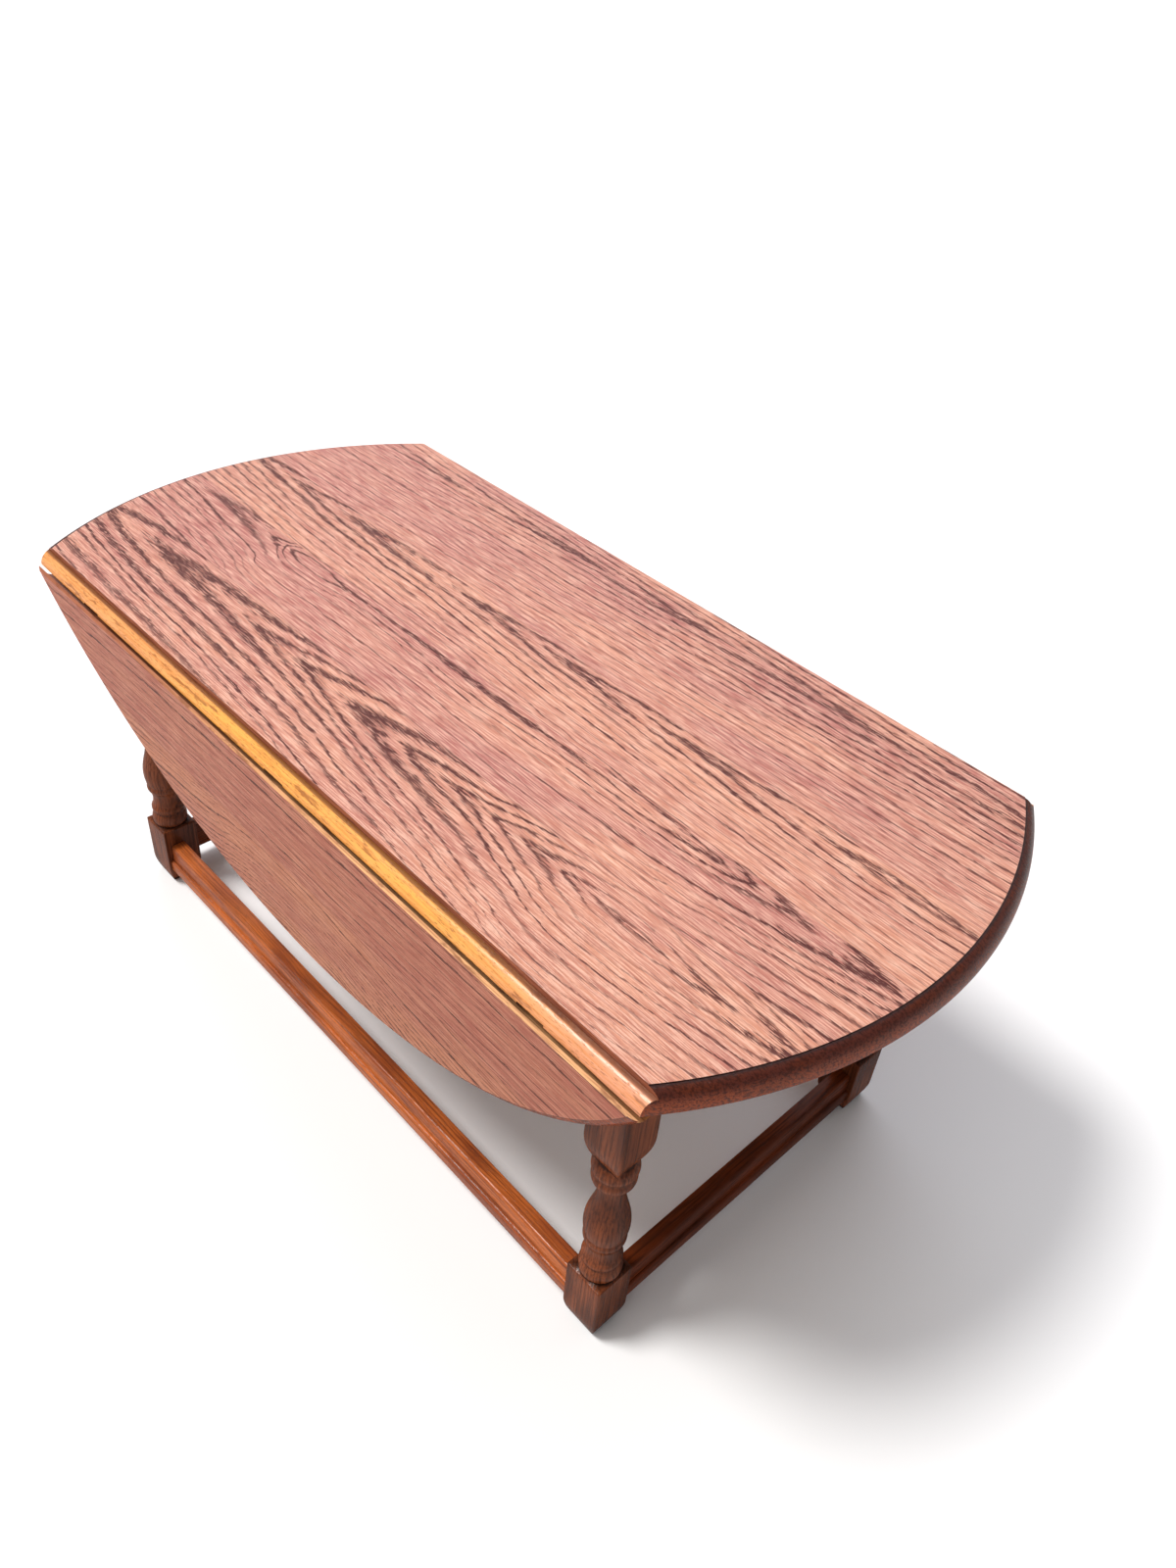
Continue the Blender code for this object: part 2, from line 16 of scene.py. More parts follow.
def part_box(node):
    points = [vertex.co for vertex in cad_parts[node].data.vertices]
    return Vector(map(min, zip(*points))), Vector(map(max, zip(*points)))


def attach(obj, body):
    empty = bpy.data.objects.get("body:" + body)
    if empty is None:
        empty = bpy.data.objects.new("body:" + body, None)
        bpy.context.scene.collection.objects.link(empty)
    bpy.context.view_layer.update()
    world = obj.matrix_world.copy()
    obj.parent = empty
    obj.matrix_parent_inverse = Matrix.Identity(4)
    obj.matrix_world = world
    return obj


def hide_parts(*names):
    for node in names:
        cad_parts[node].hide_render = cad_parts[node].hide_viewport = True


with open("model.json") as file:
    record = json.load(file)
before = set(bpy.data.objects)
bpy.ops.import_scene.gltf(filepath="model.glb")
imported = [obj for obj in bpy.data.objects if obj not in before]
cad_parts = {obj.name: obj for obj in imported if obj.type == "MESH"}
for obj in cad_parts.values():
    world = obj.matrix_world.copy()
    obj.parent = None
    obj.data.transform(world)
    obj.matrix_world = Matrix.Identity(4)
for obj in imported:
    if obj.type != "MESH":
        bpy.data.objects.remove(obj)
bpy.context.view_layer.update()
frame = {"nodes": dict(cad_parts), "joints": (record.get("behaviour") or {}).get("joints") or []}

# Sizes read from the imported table
JOINTS = {joint["name"]: joint for joint in frame["joints"]}
TOP_LOW, TOP_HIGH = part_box("centre_top")
LEG_LOW, LEG_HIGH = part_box("leg_far_right")
HEIGHT = TOP_HIGH.z
UNDERSIDE = TOP_LOW.z
HALF_FLAT = JOINTS["leaf_far_hinge"]["pos_m"][1]
AXIS_Z = JOINTS["leaf_far_hinge"]["pos_m"][2]
OVOLO = TOP_HIGH.y - HALF_FLAT
STEP_BOTTOM = AXIS_Z + OVOLO
SEMI_LENGTH = TOP_HIGH.x - OVOLO
LEG_HALF = (LEG_HIGH.x - LEG_LOW.x) / 2
LEG_X = (LEG_LOW.x + LEG_HIGH.x) / 2
LEG_Y = (LEG_LOW.y + LEG_HIGH.y) / 2
LEG_TOP = LEG_HIGH.z

# Top and leaves
SEMI_WIDTH = 0.500
COVE = OVOLO + 0.0026
LEAF_END_GAP = 0.0005
LEAF_LEAN = math.radians(4.9)
THUMB_STEP = 0.0010
THUMB_HEIGHT = 0.0180
THUMB_LOW = HEIGHT - THUMB_STEP - THUMB_HEIGHT
ARRIS = 0.0004
LOWER_ARRIS = 0.0006
THUMB_STEPS = 18
END_STEPS = 150
LEAF_STEPS = 280
ARC_STEPS = 16
ARRIS_STEPS = 4
LEAST_LEVEL_STEP = 0.00002
HALVINGS = 60
# A face counts as level above the first, and as part of a long edge below the second
LEVEL_NORMAL = 0.95
LONG_EDGE_SLANT = 0.4
# The block that hollows a leaf's joint reaches past the leaf on its open sides
COVE_BLOCK_BACK = 0.03
COVE_BLOCK_DROP = 0.01
COVE_BLOCK_REACH = 0.7

# Legs
FOOT_CURVE = 0.026
FOOT_TAPER = 0.0053
LOWER_BLOCK_TOP = 0.089
UPPER_BLOCK_BOTTOM = 0.270
UPPER_CURVE_TOP = 0.305
UPPER_TAPER = 0.0077
LEG_ARRIS = 0.0011
PROFILE_STEP = 0.0011
FOOT_STEPS = 12
LOWER_BLOCK_STEPS = 8
UPPER_CURVE_STEPS = 14
UPPER_BLOCK_STEPS = 6
LEG_ARRIS_STEPS = 3
# Points from the middle of a leg's side to its corner, as shares of the eighth turn between them
FLAT_STEPS = 9
FLAT_SHARE = 0.955
CORNER_SHARES = (0.966, 0.978, 0.989, 1.0)
# Relief compares a level with this many on each side, and one unit of it is this many metres
RELIEF_REACH = 6
RELIEF_UNIT = 0.002
# Turned part in runs of (height, radius). Each run is one smooth curve, and runs meet sharply.
TURNING = (
    ((0.0880, 0.0196), (0.0905, 0.0202), (0.0950, 0.0216), (0.1000, 0.0217),
     (0.1050, 0.0206), (0.1090, 0.0188)),
    ((0.1090, 0.0188), (0.1108, 0.0187)),
    ((0.1108, 0.0187), (0.1130, 0.0201), (0.1170, 0.0203), (0.1205, 0.0187)),
    ((0.1205, 0.0187), (0.1260, 0.0171), (0.1350, 0.0168), (0.1430, 0.0186)),
    ((0.1430, 0.0186), (0.1465, 0.0207), (0.1510, 0.0213), (0.1545, 0.0204)),
    ((0.1545, 0.0204), (0.1600, 0.0214), (0.1700, 0.0224), (0.1810, 0.0218), (0.1920, 0.0195),
     (0.2040, 0.0163), (0.2150, 0.0141), (0.2260, 0.0133), (0.2350, 0.0138), (0.2380, 0.0152)),
    ((0.2380, 0.0152), (0.2395, 0.0180), (0.2435, 0.0207), (0.2490, 0.0214), (0.2530, 0.0201)),
    ((0.2530, 0.0201), (0.2555, 0.0199)),
    ((0.2555, 0.0199), (0.2590, 0.0218), (0.2640, 0.0222), (0.2700, 0.0204), (0.2760, 0.0150)),
)

# Stretchers
STRETCHER_LIP = 0.0184
STRETCHER_SHOULDER = 0.0402
STRETCHER_ARRIS = 0.0010
STRETCHER_END_GAP = 0.0003

# Hinges and screws
PLATE_TOP = UNDERSIDE + 0.0016
LEAF_PLATE_REACH = 0.043
RECESS_MARGIN = 0.0003
RECESS_OPEN_BELOW = 0.003
RECESS_OPEN_BESIDE = 0.002
RECESS_UNDER_LEAF_PLATE = 0.0008
KNUCKLE_ROOM = 0.0036
SCREW_RADIUS = 0.0031
SCREW_CROWN = 0.0005
SCREW_SIDES = 28
# (share of the radius, share of the crown) from the rim's back to the middle of a screw's head
SCREW_PROFILE = ((1.0, 0.3), (1.0, 0.0), (0.93, -0.35), (0.7, -0.8), (0.35, -1.0), (0.08, -1.05))
SLOT_WIDTH = 0.0008
SLOT_BOTTOM = -0.0001
SLOT_OPENING = -0.002
SLOT_OVERRUN = 1.2
HINGE_SCREW_Y = (0.013, 0.029)
LEAF_SCREW_SHIFT = 0.007
HINGE_SCREW_SINK = 0.0002
BUTTON_SCREW_RADIUS = 0.0042

HINGE_SPOTS = ("left", "middle", "right")
SIDES = (("near", -1), ("far", 1))
ENDS = (("left", -1), ("right", 1))


# Mesh tools


def loft(rings):
    """A closed solid through rings of equally many points, with a flat cap at each end."""
    shape = bmesh.new()
    rows = [[shape.verts.new(point) for point in ring] for ring in rings]
    count = len(rows[0])
    for lower, upper in zip(rows, rows[1:]):
        for i in range(count):
            j = (i + 1) % count
            shape.faces.new((lower[i], lower[j], upper[j], upper[i]))
    shape.faces.new(rows[0])
    shape.faces.new(rows[-1])
    return shape


def box(low, high):
    corners = ((low[0], low[1]), (high[0], low[1]), (high[0], high[1]), (low[0], high[1]))
    return loft([[(x, y, z) for x, y in corners] for z in (low[2], high[2])])


def prism_along_x(section, low, high):
    return loft([[(x, y, z) for y, z in section] for x in (low, high)])


def to_mesh(shape, name):
    bmesh.ops.recalc_face_normals(shape, faces=shape.faces)
    mesh_data = bpy.data.meshes.new(name)
    shape.to_mesh(mesh_data)
    shape.free()
    return mesh_data


def helper(shape):
    made = bpy.data.objects.new("helper", to_mesh(shape, "helper"))
    bpy.context.scene.collection.objects.link(made)
    return made


def cut_by(shape, cutters):
    """The mesh of a solid after other solids are cut from it."""
    base = helper(shape)
    tools = [helper(cutter) for cutter in cutters]
    for tool in tools:
        change = base.modifiers.new("cut", "BOOLEAN")
        change.operation = "DIFFERENCE"
        change.solver = "EXACT"
        change.object = tool
    bpy.context.view_layer.update()
    graph = bpy.context.evaluated_depsgraph_get()
    result = bpy.data.meshes.new_from_object(base.evaluated_get(graph))
    for item in [base] + tools:
        bpy.data.objects.remove(item, do_unlink=True)
    return result


def smoothed(mesh_data, angle=32):
    mesh_data.polygons.foreach_set("use_smooth", [True] * len(mesh_data.polygons))
    mesh_data.set_sharp_from_angle(angle=math.radians(angle))
    return mesh_data


def moved(mesh_data, matrix):
    mesh_data.transform(matrix)
    if matrix.determinant() < 0:
        mesh_data.flip_normals()
    return mesh_data


def piece(name, mesh_data, materials, body, replaced=()):
    made = bpy.data.objects.new(name, mesh_data)
    for material in materials:
        mesh_data.materials.append(material)
    bpy.context.scene.collection.objects.link(made)
    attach(made, body)
    for node in replaced:
        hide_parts(node)
    return made


def arc(centre, radius, start, end, steps):
    """Points of an arc, with angles in degrees."""
    points = []
    for i in range(steps + 1):
        turn = math.radians(start + (end - start) * i / steps)
        points.append((centre[0] + radius * math.cos(turn), centre[1] + radius * math.sin(turn)))
    return points


def smooth_run(points, step):
    """Points every step or so along a smooth curve through the given ones."""
    padded = [points[0]] + list(points) + [points[-1]]
    out = []
    for i in range(1, len(points)):
        before, start, end, after = (Vector(p) for p in padded[i - 1:i + 3])
        pieces = max(1, round((end - start).length / step))
        for j in range(pieces):
            t = j / pieces
            bend = (2 * before - 5 * start + 4 * end - after) * t * t
            twist = (3 * start - before - 3 * end + after) * t ** 3
            out.append(tuple((2 * start + (end - before) * t + bend + twist) / 2))
    out.append(tuple(points[-1]))
    return out


# Oval outline and moulded edge


def outline_point(angle, offset):
    """A point of the ellipse, moved outwards square to it."""
    normal = Vector((math.cos(angle) / SEMI_LENGTH, math.sin(angle) / SEMI_WIDTH))
    normal.normalize()
    on_ellipse = Vector((SEMI_LENGTH * math.cos(angle), SEMI_WIDTH * math.sin(angle)))
    return on_ellipse + offset * normal


def angle_at_width(y, offset):
    """The angle, on the +X side, at which the offset ellipse reaches the given y."""
    low, high = -math.pi / 2, math.pi / 2
    for _ in range(HALVINGS):
        middle = (low + high) / 2
        if outline_point(middle, offset).y < y:
            low = middle
        else:
            high = middle
    return (low + high) / 2


def quarter_levels(low, rise, steps):
    """Heights of even steps round a quarter turn, from its top down to low."""
    return [low + rise * math.cos(math.pi / 2 * i / steps) for i in range(steps + 1)]


def edge_levels():
    """Every height at which the moulded edges are drawn, from the top down."""
    levels = [HEIGHT - ARRIS + rise for rise in quarter_levels(0.0, ARRIS, ARRIS_STEPS)]
    under = quarter_levels(0.0, LOWER_ARRIS, ARRIS_STEPS)
    levels += [UNDERSIDE + LOWER_ARRIS - rise for rise in under]
    levels += quarter_levels(THUMB_LOW, THUMB_HEIGHT, THUMB_STEPS)
    levels += quarter_levels(AXIS_Z, OVOLO, ARC_STEPS)
    levels.sort(reverse=True)
    return [z for i, z in enumerate(levels) if i == 0 or levels[i - 1] - z > LEAST_LEVEL_STEP]


def rounded_offset(z, low, rise, top):
    """How far an edge stands out at a height: arrises, a flat step below top, then a quarter oval."""
    if z > HEIGHT - ARRIS:
        up = z - HEIGHT + ARRIS
        return math.sqrt(max(0.0, ARRIS * ARRIS - up * up)) - ARRIS
    if z > top - 1e-6:
        return 0.0
    share = min(1.0, max(0.0, (z - low) / rise))
    down = max(0.0, UNDERSIDE + LOWER_ARRIS - z)
    under = LOWER_ARRIS - math.sqrt(max(0.0, LOWER_ARRIS * LOWER_ARRIS - down * down))
    return OVOLO * math.sqrt(1 - share * share) - under


def curved_offset(z):
    """How far the thumb moulding on the oval's curve stands out at a height."""
    return rounded_offset(z, THUMB_LOW, THUMB_HEIGHT, HEIGHT - THUMB_STEP)


def straight_offset(z):
    """How far the rule joint's quarter round stands out from the flat at a height."""
    return rounded_offset(z, AXIS_Z, OVOLO, STEP_BOTTOM)


def centre_ring(z):
    """Outline of the centre top at one height of its edge."""
    offset = curved_offset(z)
    reach = angle_at_width(HALF_FLAT + straight_offset(z), offset)
    turns = [-reach + 2 * reach * i / END_STEPS for i in range(END_STEPS + 1)]
    right = [outline_point(turn, offset) for turn in turns]
    ring = [(p.x, p.y, z) for p in right]
    ring += [(-p.x, p.y, z) for p in reversed(right)]
    return ring


def leaf_ring(z):
    """Outline of the raised +Y leaf at one height of its edge."""
    offset = curved_offset(z)
    start = angle_at_width(HALF_FLAT + LEAF_END_GAP + max(0.0, -offset), offset)
    turns = [start + (math.pi - 2 * start) * i / LEAF_STEPS for i in range(LEAF_STEPS + 1)]
    points = [outline_point(turn, offset) for turn in turns]
    return [(p.x, p.y, z) for p in points]


def cove_cutter():
    """The hollow of a leaf's rule joint, as a block to cut from the raised +Y leaf."""
    back = HALF_FLAT - COVE_BLOCK_BACK
    low = AXIS_Z - COVE_BLOCK_DROP
    section = [(back, low), (HALF_FLAT + COVE, low)]
    section += arc((HALF_FLAT, AXIS_Z), COVE, 0, 90, ARC_STEPS)
    section.append((back, AXIS_Z + COVE))
    return prism_along_x(section, -COVE_BLOCK_REACH, COVE_BLOCK_REACH)


def side_matrix(side):
    """Turns a piece drawn for the +Y side into the one for the given side."""
    return Matrix.Scale(side, 4, (0, 1, 0))


def hanging(side):
    """Swings a raised +Y leaf down until it hangs, then puts it on its own side."""
    pivot = Vector((0, HALF_FLAT, AXIS_Z))
    swing = Matrix.Translation(pivot) @ Matrix.Rotation(-math.pi / 2 - LEAF_LEAN, 4, "X")
    return side_matrix(side) @ swing @ Matrix.Translation(-pivot)


def hinge_spans():
    """(label, lowest x, highest x) of the three hinges on one side."""
    boxes = [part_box(f"hinge_pin_far_{spot}") for spot in HINGE_SPOTS]
    return [(spot, low.x, high.x) for spot, (low, high) in zip(HINGE_SPOTS, boxes)]


def centre_hinge_recess(x_low, x_high):
    """Room in the centre top for one hinge: its plate, its knuckle and the leaf plate's root."""
    low = UNDERSIDE - RECESS_OPEN_BELOW
    deep = AXIS_Z + KNUCKLE_ROOM - RECESS_MARGIN
    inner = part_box("hinge_top_plate_far_left")[0].y - RECESS_MARGIN
    outer = HALF_FLAT + OVOLO + RECESS_OPEN_BESIDE
    root = PLATE_TOP + RECESS_UNDER_LEAF_PLATE
    section = (
        (inner, low),
        (outer, low),
        (outer, root),
        (HALF_FLAT + KNUCKLE_ROOM, root),
        (HALF_FLAT + KNUCKLE_ROOM, deep),
        (HALF_FLAT - KNUCKLE_ROOM, deep),
        (HALF_FLAT - KNUCKLE_ROOM, PLATE_TOP + RECESS_MARGIN),
        (inner, PLATE_TOP + RECESS_MARGIN),
    )
    return prism_along_x(section, x_low - 2 * RECESS_MARGIN, x_high + 2 * RECESS_MARGIN)


def leaf_hinge_recess(x_low, x_high):
    """Room in the raised leaf for one hinge's longer plate."""
    inner = HALF_FLAT + COVE - RECESS_OPEN_BESIDE
    outer = HALF_FLAT + LEAF_PLATE_REACH + RECESS_MARGIN
    low = (x_low - RECESS_MARGIN, inner, UNDERSIDE - RECESS_OPEN_BELOW)
    high = (x_high + RECESS_MARGIN, outer, PLATE_TOP + RECESS_MARGIN)
    return box(low, high)


def paint_faces(mesh_data):
    """Material index of each face: 0 flat top, 1 long edges and joint, 2 curved moulding, 3 underside."""
    for face in mesh_data.polygons:
        across = abs(face.normal.y)
        along = abs(face.normal.x)
        if face.normal.z > LEVEL_NORMAL and face.center.z > HEIGHT - ARRIS / 2:
            face.material_index = 0
        elif face.normal.z < -LEVEL_NORMAL or face.center.z < UNDERSIDE + LOWER_ARRIS / 4:
            face.material_index = 3
        elif along < across * LONG_EDGE_SLANT and abs(face.center.y) < HALF_FLAT + COVE + 0.001:
            face.material_index = 1
        else:
            face.material_index = 2
    return mesh_data


def add_centre_top(materials):
    shape = loft([centre_ring(z) for z in edge_levels()])
    recesses = []
    for _, x_low, x_high in hinge_spans():
        near = centre_hinge_recess(x_low, x_high)
        bmesh.ops.transform(near, matrix=side_matrix(-1), verts=near.verts)
        recesses += [centre_hinge_recess(x_low, x_high), near]
    mesh_data = paint_faces(cut_by(shape, recesses))
    piece("top_board", smoothed(mesh_data), materials, "frame", ["centre_top"])


def add_leaf(side_name, side, materials):
    shape = loft([leaf_ring(z) for z in edge_levels()])
    cut = [cove_cutter()] + [leaf_hinge_recess(low, high) for _, low, high in hinge_spans()]
    mesh_data = moved(paint_faces(cut_by(shape, cut)), hanging(side))
    node = f"leaf_{side_name}"
    piece(f"{node}_board", smoothed(mesh_data), materials, node, [node])


# Legs


def rounded_square(angle, half):
    """Distance from the middle to the side of a square with softened corners."""
    x, y = abs(math.cos(angle)), abs(math.sin(angle))
    x, y = max(x, y), min(x, y)
    flat = half - LEG_ARRIS
    if y * half <= flat * x:
        return half / x
    reach = flat * (x + y)
    return reach + math.sqrt(reach * reach - 2 * flat * flat + LEG_ARRIS ** 2)


def block_half(z):
    """Half width of the leg's square part at a height, or 0 where the leg is turned."""
    if z <= LOWER_BLOCK_TOP:
        return LEG_HALF - FOOT_TAPER * max(0.0, 1 - z / FOOT_CURVE) ** 2
    if z < UPPER_BLOCK_BOTTOM:
        return 0.0
    share = (z - UPPER_BLOCK_BOTTOM) / (UPPER_CURVE_TOP - UPPER_BLOCK_BOTTOM)
    return LEG_HALF - UPPER_TAPER * max(0.0, 1 - share) ** 2


def leg_angles():
    """Angles round a leg, close together at the corners."""
    corner = math.pi / 4
    fractions = [i / FLAT_STEPS * FLAT_SHARE for i in range(FLAT_STEPS + 1)] + list(CORNER_SHARES)
    octant = [corner * f for f in fractions]
    quarter = octant + [2 * corner - t for t in reversed(octant[1:-1])]
    return [q * math.pi / 2 + t for q in range(4) for t in quarter]


def leg_levels():
    """(height, square half width or 0, turned radius or 0) up a leg."""
    levels = []
    for i in range(FOOT_STEPS + 1):
        z = FOOT_CURVE * i / FOOT_STEPS
        levels.append((z, block_half(z), 0.0))
    for i in range(1, LOWER_BLOCK_STEPS + 1):
        z = FOOT_CURVE + (LOWER_BLOCK_TOP - LEG_ARRIS - FOOT_CURVE) * i / LOWER_BLOCK_STEPS
        levels.append((z, LEG_HALF, 0.0))
    for inset, rise in arc((0.0, 0.0), LEG_ARRIS, 0, 90, LEG_ARRIS_STEPS)[1:]:
        levels.append((LOWER_BLOCK_TOP - LEG_ARRIS + rise, LEG_HALF - LEG_ARRIS + inset, 0.0))
    for run in TURNING:
        for z, radius in smooth_run(run, PROFILE_STEP):
            if z >= LOWER_BLOCK_TOP:
                levels.append((z, block_half(z), radius))
    last = levels[-1][0]
    for i in range(1, UPPER_CURVE_STEPS + 1):
        z = last + (UPPER_CURVE_TOP - last) * i / UPPER_CURVE_STEPS
        levels.append((z, block_half(z), 0.0))
    for i in range(1, UPPER_BLOCK_STEPS + 1):
        z = UPPER_CURVE_TOP + (LEG_TOP - UPPER_CURVE_TOP) * i / UPPER_BLOCK_STEPS
        levels.append((z, LEG_HALF, 0.0))
    return levels


def leg_radius(angle, half, radius):
    """Distance from a leg's axis to its surface where a square and a turned shape meet."""
    square = rounded_square(angle, half) if half else 0.0
    return max(square, radius)


def leg_relief(levels):
    """How far each level stands out from its neighbourhood: high on ridges, low in grooves."""
    size = [max(half, radius) for _, half, radius in levels]
    relief = []
    for i, own in enumerate(size):
        nearby = size[max(0, i - RELIEF_REACH):i + RELIEF_REACH + 1]
        relief.append((own - sum(nearby) / len(nearby)) / RELIEF_UNIT)
    return relief


def leg_mesh(name):
    angles = leg_angles()
    levels = leg_levels()
    rings = []
    for z, half, radius in levels:
        sizes = [leg_radius(t, half, radius) for t in angles]
        rings.append([(r * math.cos(t), r * math.sin(t), z) for r, t in zip(sizes, angles)])
    mesh_data = to_mesh(loft(rings), name)
    relief = mesh_data.attributes.new("relief", "FLOAT", "POINT")
    values = [value for value in leg_relief(levels) for _ in angles]
    relief.data.foreach_set("value", values)
    return mesh_data


def add_legs(material):
    for y_name, y_side in SIDES:
        for x_name, x_side in ENDS:
            node = f"leg_{y_name}_{x_name}"
            spot = Matrix.Translation((x_side * LEG_X, y_side * LEG_Y, 0))
            mesh_data = smoothed(moved(leg_mesh(node), spot), angle=40)
            piece(f"{node}_turned", mesh_data, [material], "frame", [node])


# Stretchers


def stretcher_section(width, bottom, top):
    """(distance out, height) round a stretcher: softened arrises and a bead under the upper face."""
    soft = STRETCHER_ARRIS
    bead = width - STRETCHER_LIP
    shoulder = STRETCHER_SHOULDER
    section = arc((soft, bottom + soft), soft, 180, 270, 3)
    section += arc((width - soft, bottom + soft), soft, 270, 360, 3)
    section += arc((width - bead, shoulder - bead), bead, 0, 90, 8)
    section += arc((STRETCHER_LIP - bead, top - bead), bead, 0, 90, 8)
    section += arc((soft, top - soft), soft, 90, 180, 3)
    return section


def stretcher_mesh(end, inner, outer, bottom, top):
    section = stretcher_section(outer - inner, bottom, top)
    return to_mesh(prism_along_x([(inner + out, z) for out, z in section], -end, end), "stretcher")


def quarter_turn(side):
    """Turns a piece drawn along X on the +Y side to run along Y on the given X side."""
    return Matrix.Rotation(-side * math.pi / 2, 4, "Z")


def add_stretchers(material_x, material_y):
    low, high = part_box("stretcher_far")
    for name, side in SIDES:
        mesh_data = stretcher_mesh(LEG_X - LEG_HALF - STRETCHER_END_GAP, low.y, high.y, low.z, high.z)
        mesh_data = smoothed(moved(mesh_data, side_matrix(side)))
        node = f"stretcher_{name}"
        piece(f"{node}_moulded", mesh_data, [material_x], "frame", [node])
    low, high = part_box("stretcher_right")
    for name, side in ENDS:
        mesh_data = stretcher_mesh(LEG_Y - LEG_HALF - STRETCHER_END_GAP, low.x, high.x, low.z, high.z)
        mesh_data = smoothed(moved(mesh_data, quarter_turn(side)))
        node = f"stretcher_{name}"
        piece(f"{node}_moulded", mesh_data, [material_y], "frame", [node])


# Screws


def screw_head(radius, turn):
    """A slotted, slightly domed head that faces down, with its rim at height 0."""
    angles = [2 * math.pi * i / SCREW_SIDES for i in range(SCREW_SIDES)]
    rings = []
    for out, rise in SCREW_PROFILE:
        z = rise * SCREW_CROWN
        rings.append([(out * radius * math.cos(t), out * radius * math.sin(t), z) for t in angles])
    reach = radius * SLOT_OVERRUN
    slot = box((-reach, -SLOT_WIDTH / 2, SLOT_OPENING), (reach, SLOT_WIDTH / 2, SLOT_BOTTOM))
    mesh_data = cut_by(loft(rings), [slot])
    return moved(mesh_data, Matrix.Rotation(turn, 4, "Z"))


def screw_group(name, spots, radius, matrix, material, body):
    """One piece holding the screws of one plate or button."""
    joined = bmesh.new()
    for i, spot in enumerate(spots):
        head = screw_head(radius, 0.6 + 1.1 * i + 9 * spot[0])
        joined.from_mesh(moved(head, Matrix.Translation(spot)))
        bpy.data.meshes.remove(head)
    mesh_data = smoothed(moved(to_mesh(joined, name), matrix), angle=30)
    piece(name, mesh_data, [material], body)


def add_hinge_screws(material):
    plate_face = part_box("hinge_top_plate_far_left")[0].z
    plate_face = max(plate_face, UNDERSIDE + HINGE_SCREW_SINK)
    for side_name, side in SIDES:
        leaf = f"leaf_{side_name}"
        for spot, x_low, x_high in hinge_spans():
            middle = (x_low + x_high) / 2
            label = f"{side_name}_{spot}"
            spots = [(middle, HALF_FLAT - across, plate_face) for across in HINGE_SCREW_Y]
            name = f"top_plate_screws_{label}"
            screw_group(name, spots, SCREW_RADIUS, side_matrix(side), material, "frame")
            shifts = [across + LEAF_SCREW_SHIFT for across in HINGE_SCREW_Y]
            spots = [(middle, HALF_FLAT + across, plate_face) for across in shifts]
            name = f"leaf_plate_screws_{label}"
            screw_group(name, spots, SCREW_RADIUS, hanging(side), material, leaf)


def add_button_screws(material):
    """A screw up through each wooden button."""
    names = [f"top_button_{end}_{side}" for end, _ in ENDS for side, _ in SIDES]
    names += [f"top_button_long_{side}_{end}" for side, _ in SIDES for end, _ in ENDS]
    still = Matrix.Identity(4)
    for name in names:
        low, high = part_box(name)
        spot = ((low.x + high.x) / 2, (low.y + high.y) / 2, low.z)
        screw_group(f"{name}_screw", [spot], BUTTON_SCREW_RADIUS, still, material, "frame")


# Node materials


def linear(red, green, blue):
    """A linear colour from red, green and blue of 0 to 255 as a screen shows them."""
    parts = []
    for value in (red, green, blue):
        share = value / 255
        parts.append(share / 12.92 if share <= 0.04045 else ((share + 0.055) / 1.055) ** 2.4)
    return (*parts, 1.0)


class Signal:
    """A number that varies over a surface. It stands on the left in sums, products and quotients."""

    def __init__(self, shader, socket):
        self.shader = shader
        self.socket = socket

    def __add__(self, other):
        return self.shader.math("ADD", self, other)

    def __sub__(self, other):
        return self.shader.math("SUBTRACT", self, other)

    def __rsub__(self, other):
        return self.shader.math("SUBTRACT", other, self)

    def __mul__(self, other):
        return self.shader.math("MULTIPLY", self, other)

    def __truediv__(self, other):
        return self.shader.math("DIVIDE", self, other)

    def __gt__(self, other):
        return self.shader.math("GREATER_THAN", self, other)

    def __lt__(self, other):
        return self.shader.math("LESS_THAN", self, other)

    def power(self, exponent):
        return self.shader.math("POWER", self, exponent)

    def fraction(self):
        return self.shader.math("FRACT", self)

    def floor(self):
        return self.shader.math("FLOOR", self)

    def magnitude(self):
        return self.shader.math("ABSOLUTE", self)

    def within(self, low, high, smooth=True):
        """0 below low and 1 above high. With low above high it falls instead."""
        return self.shader.ramp(self, low, high, smooth)


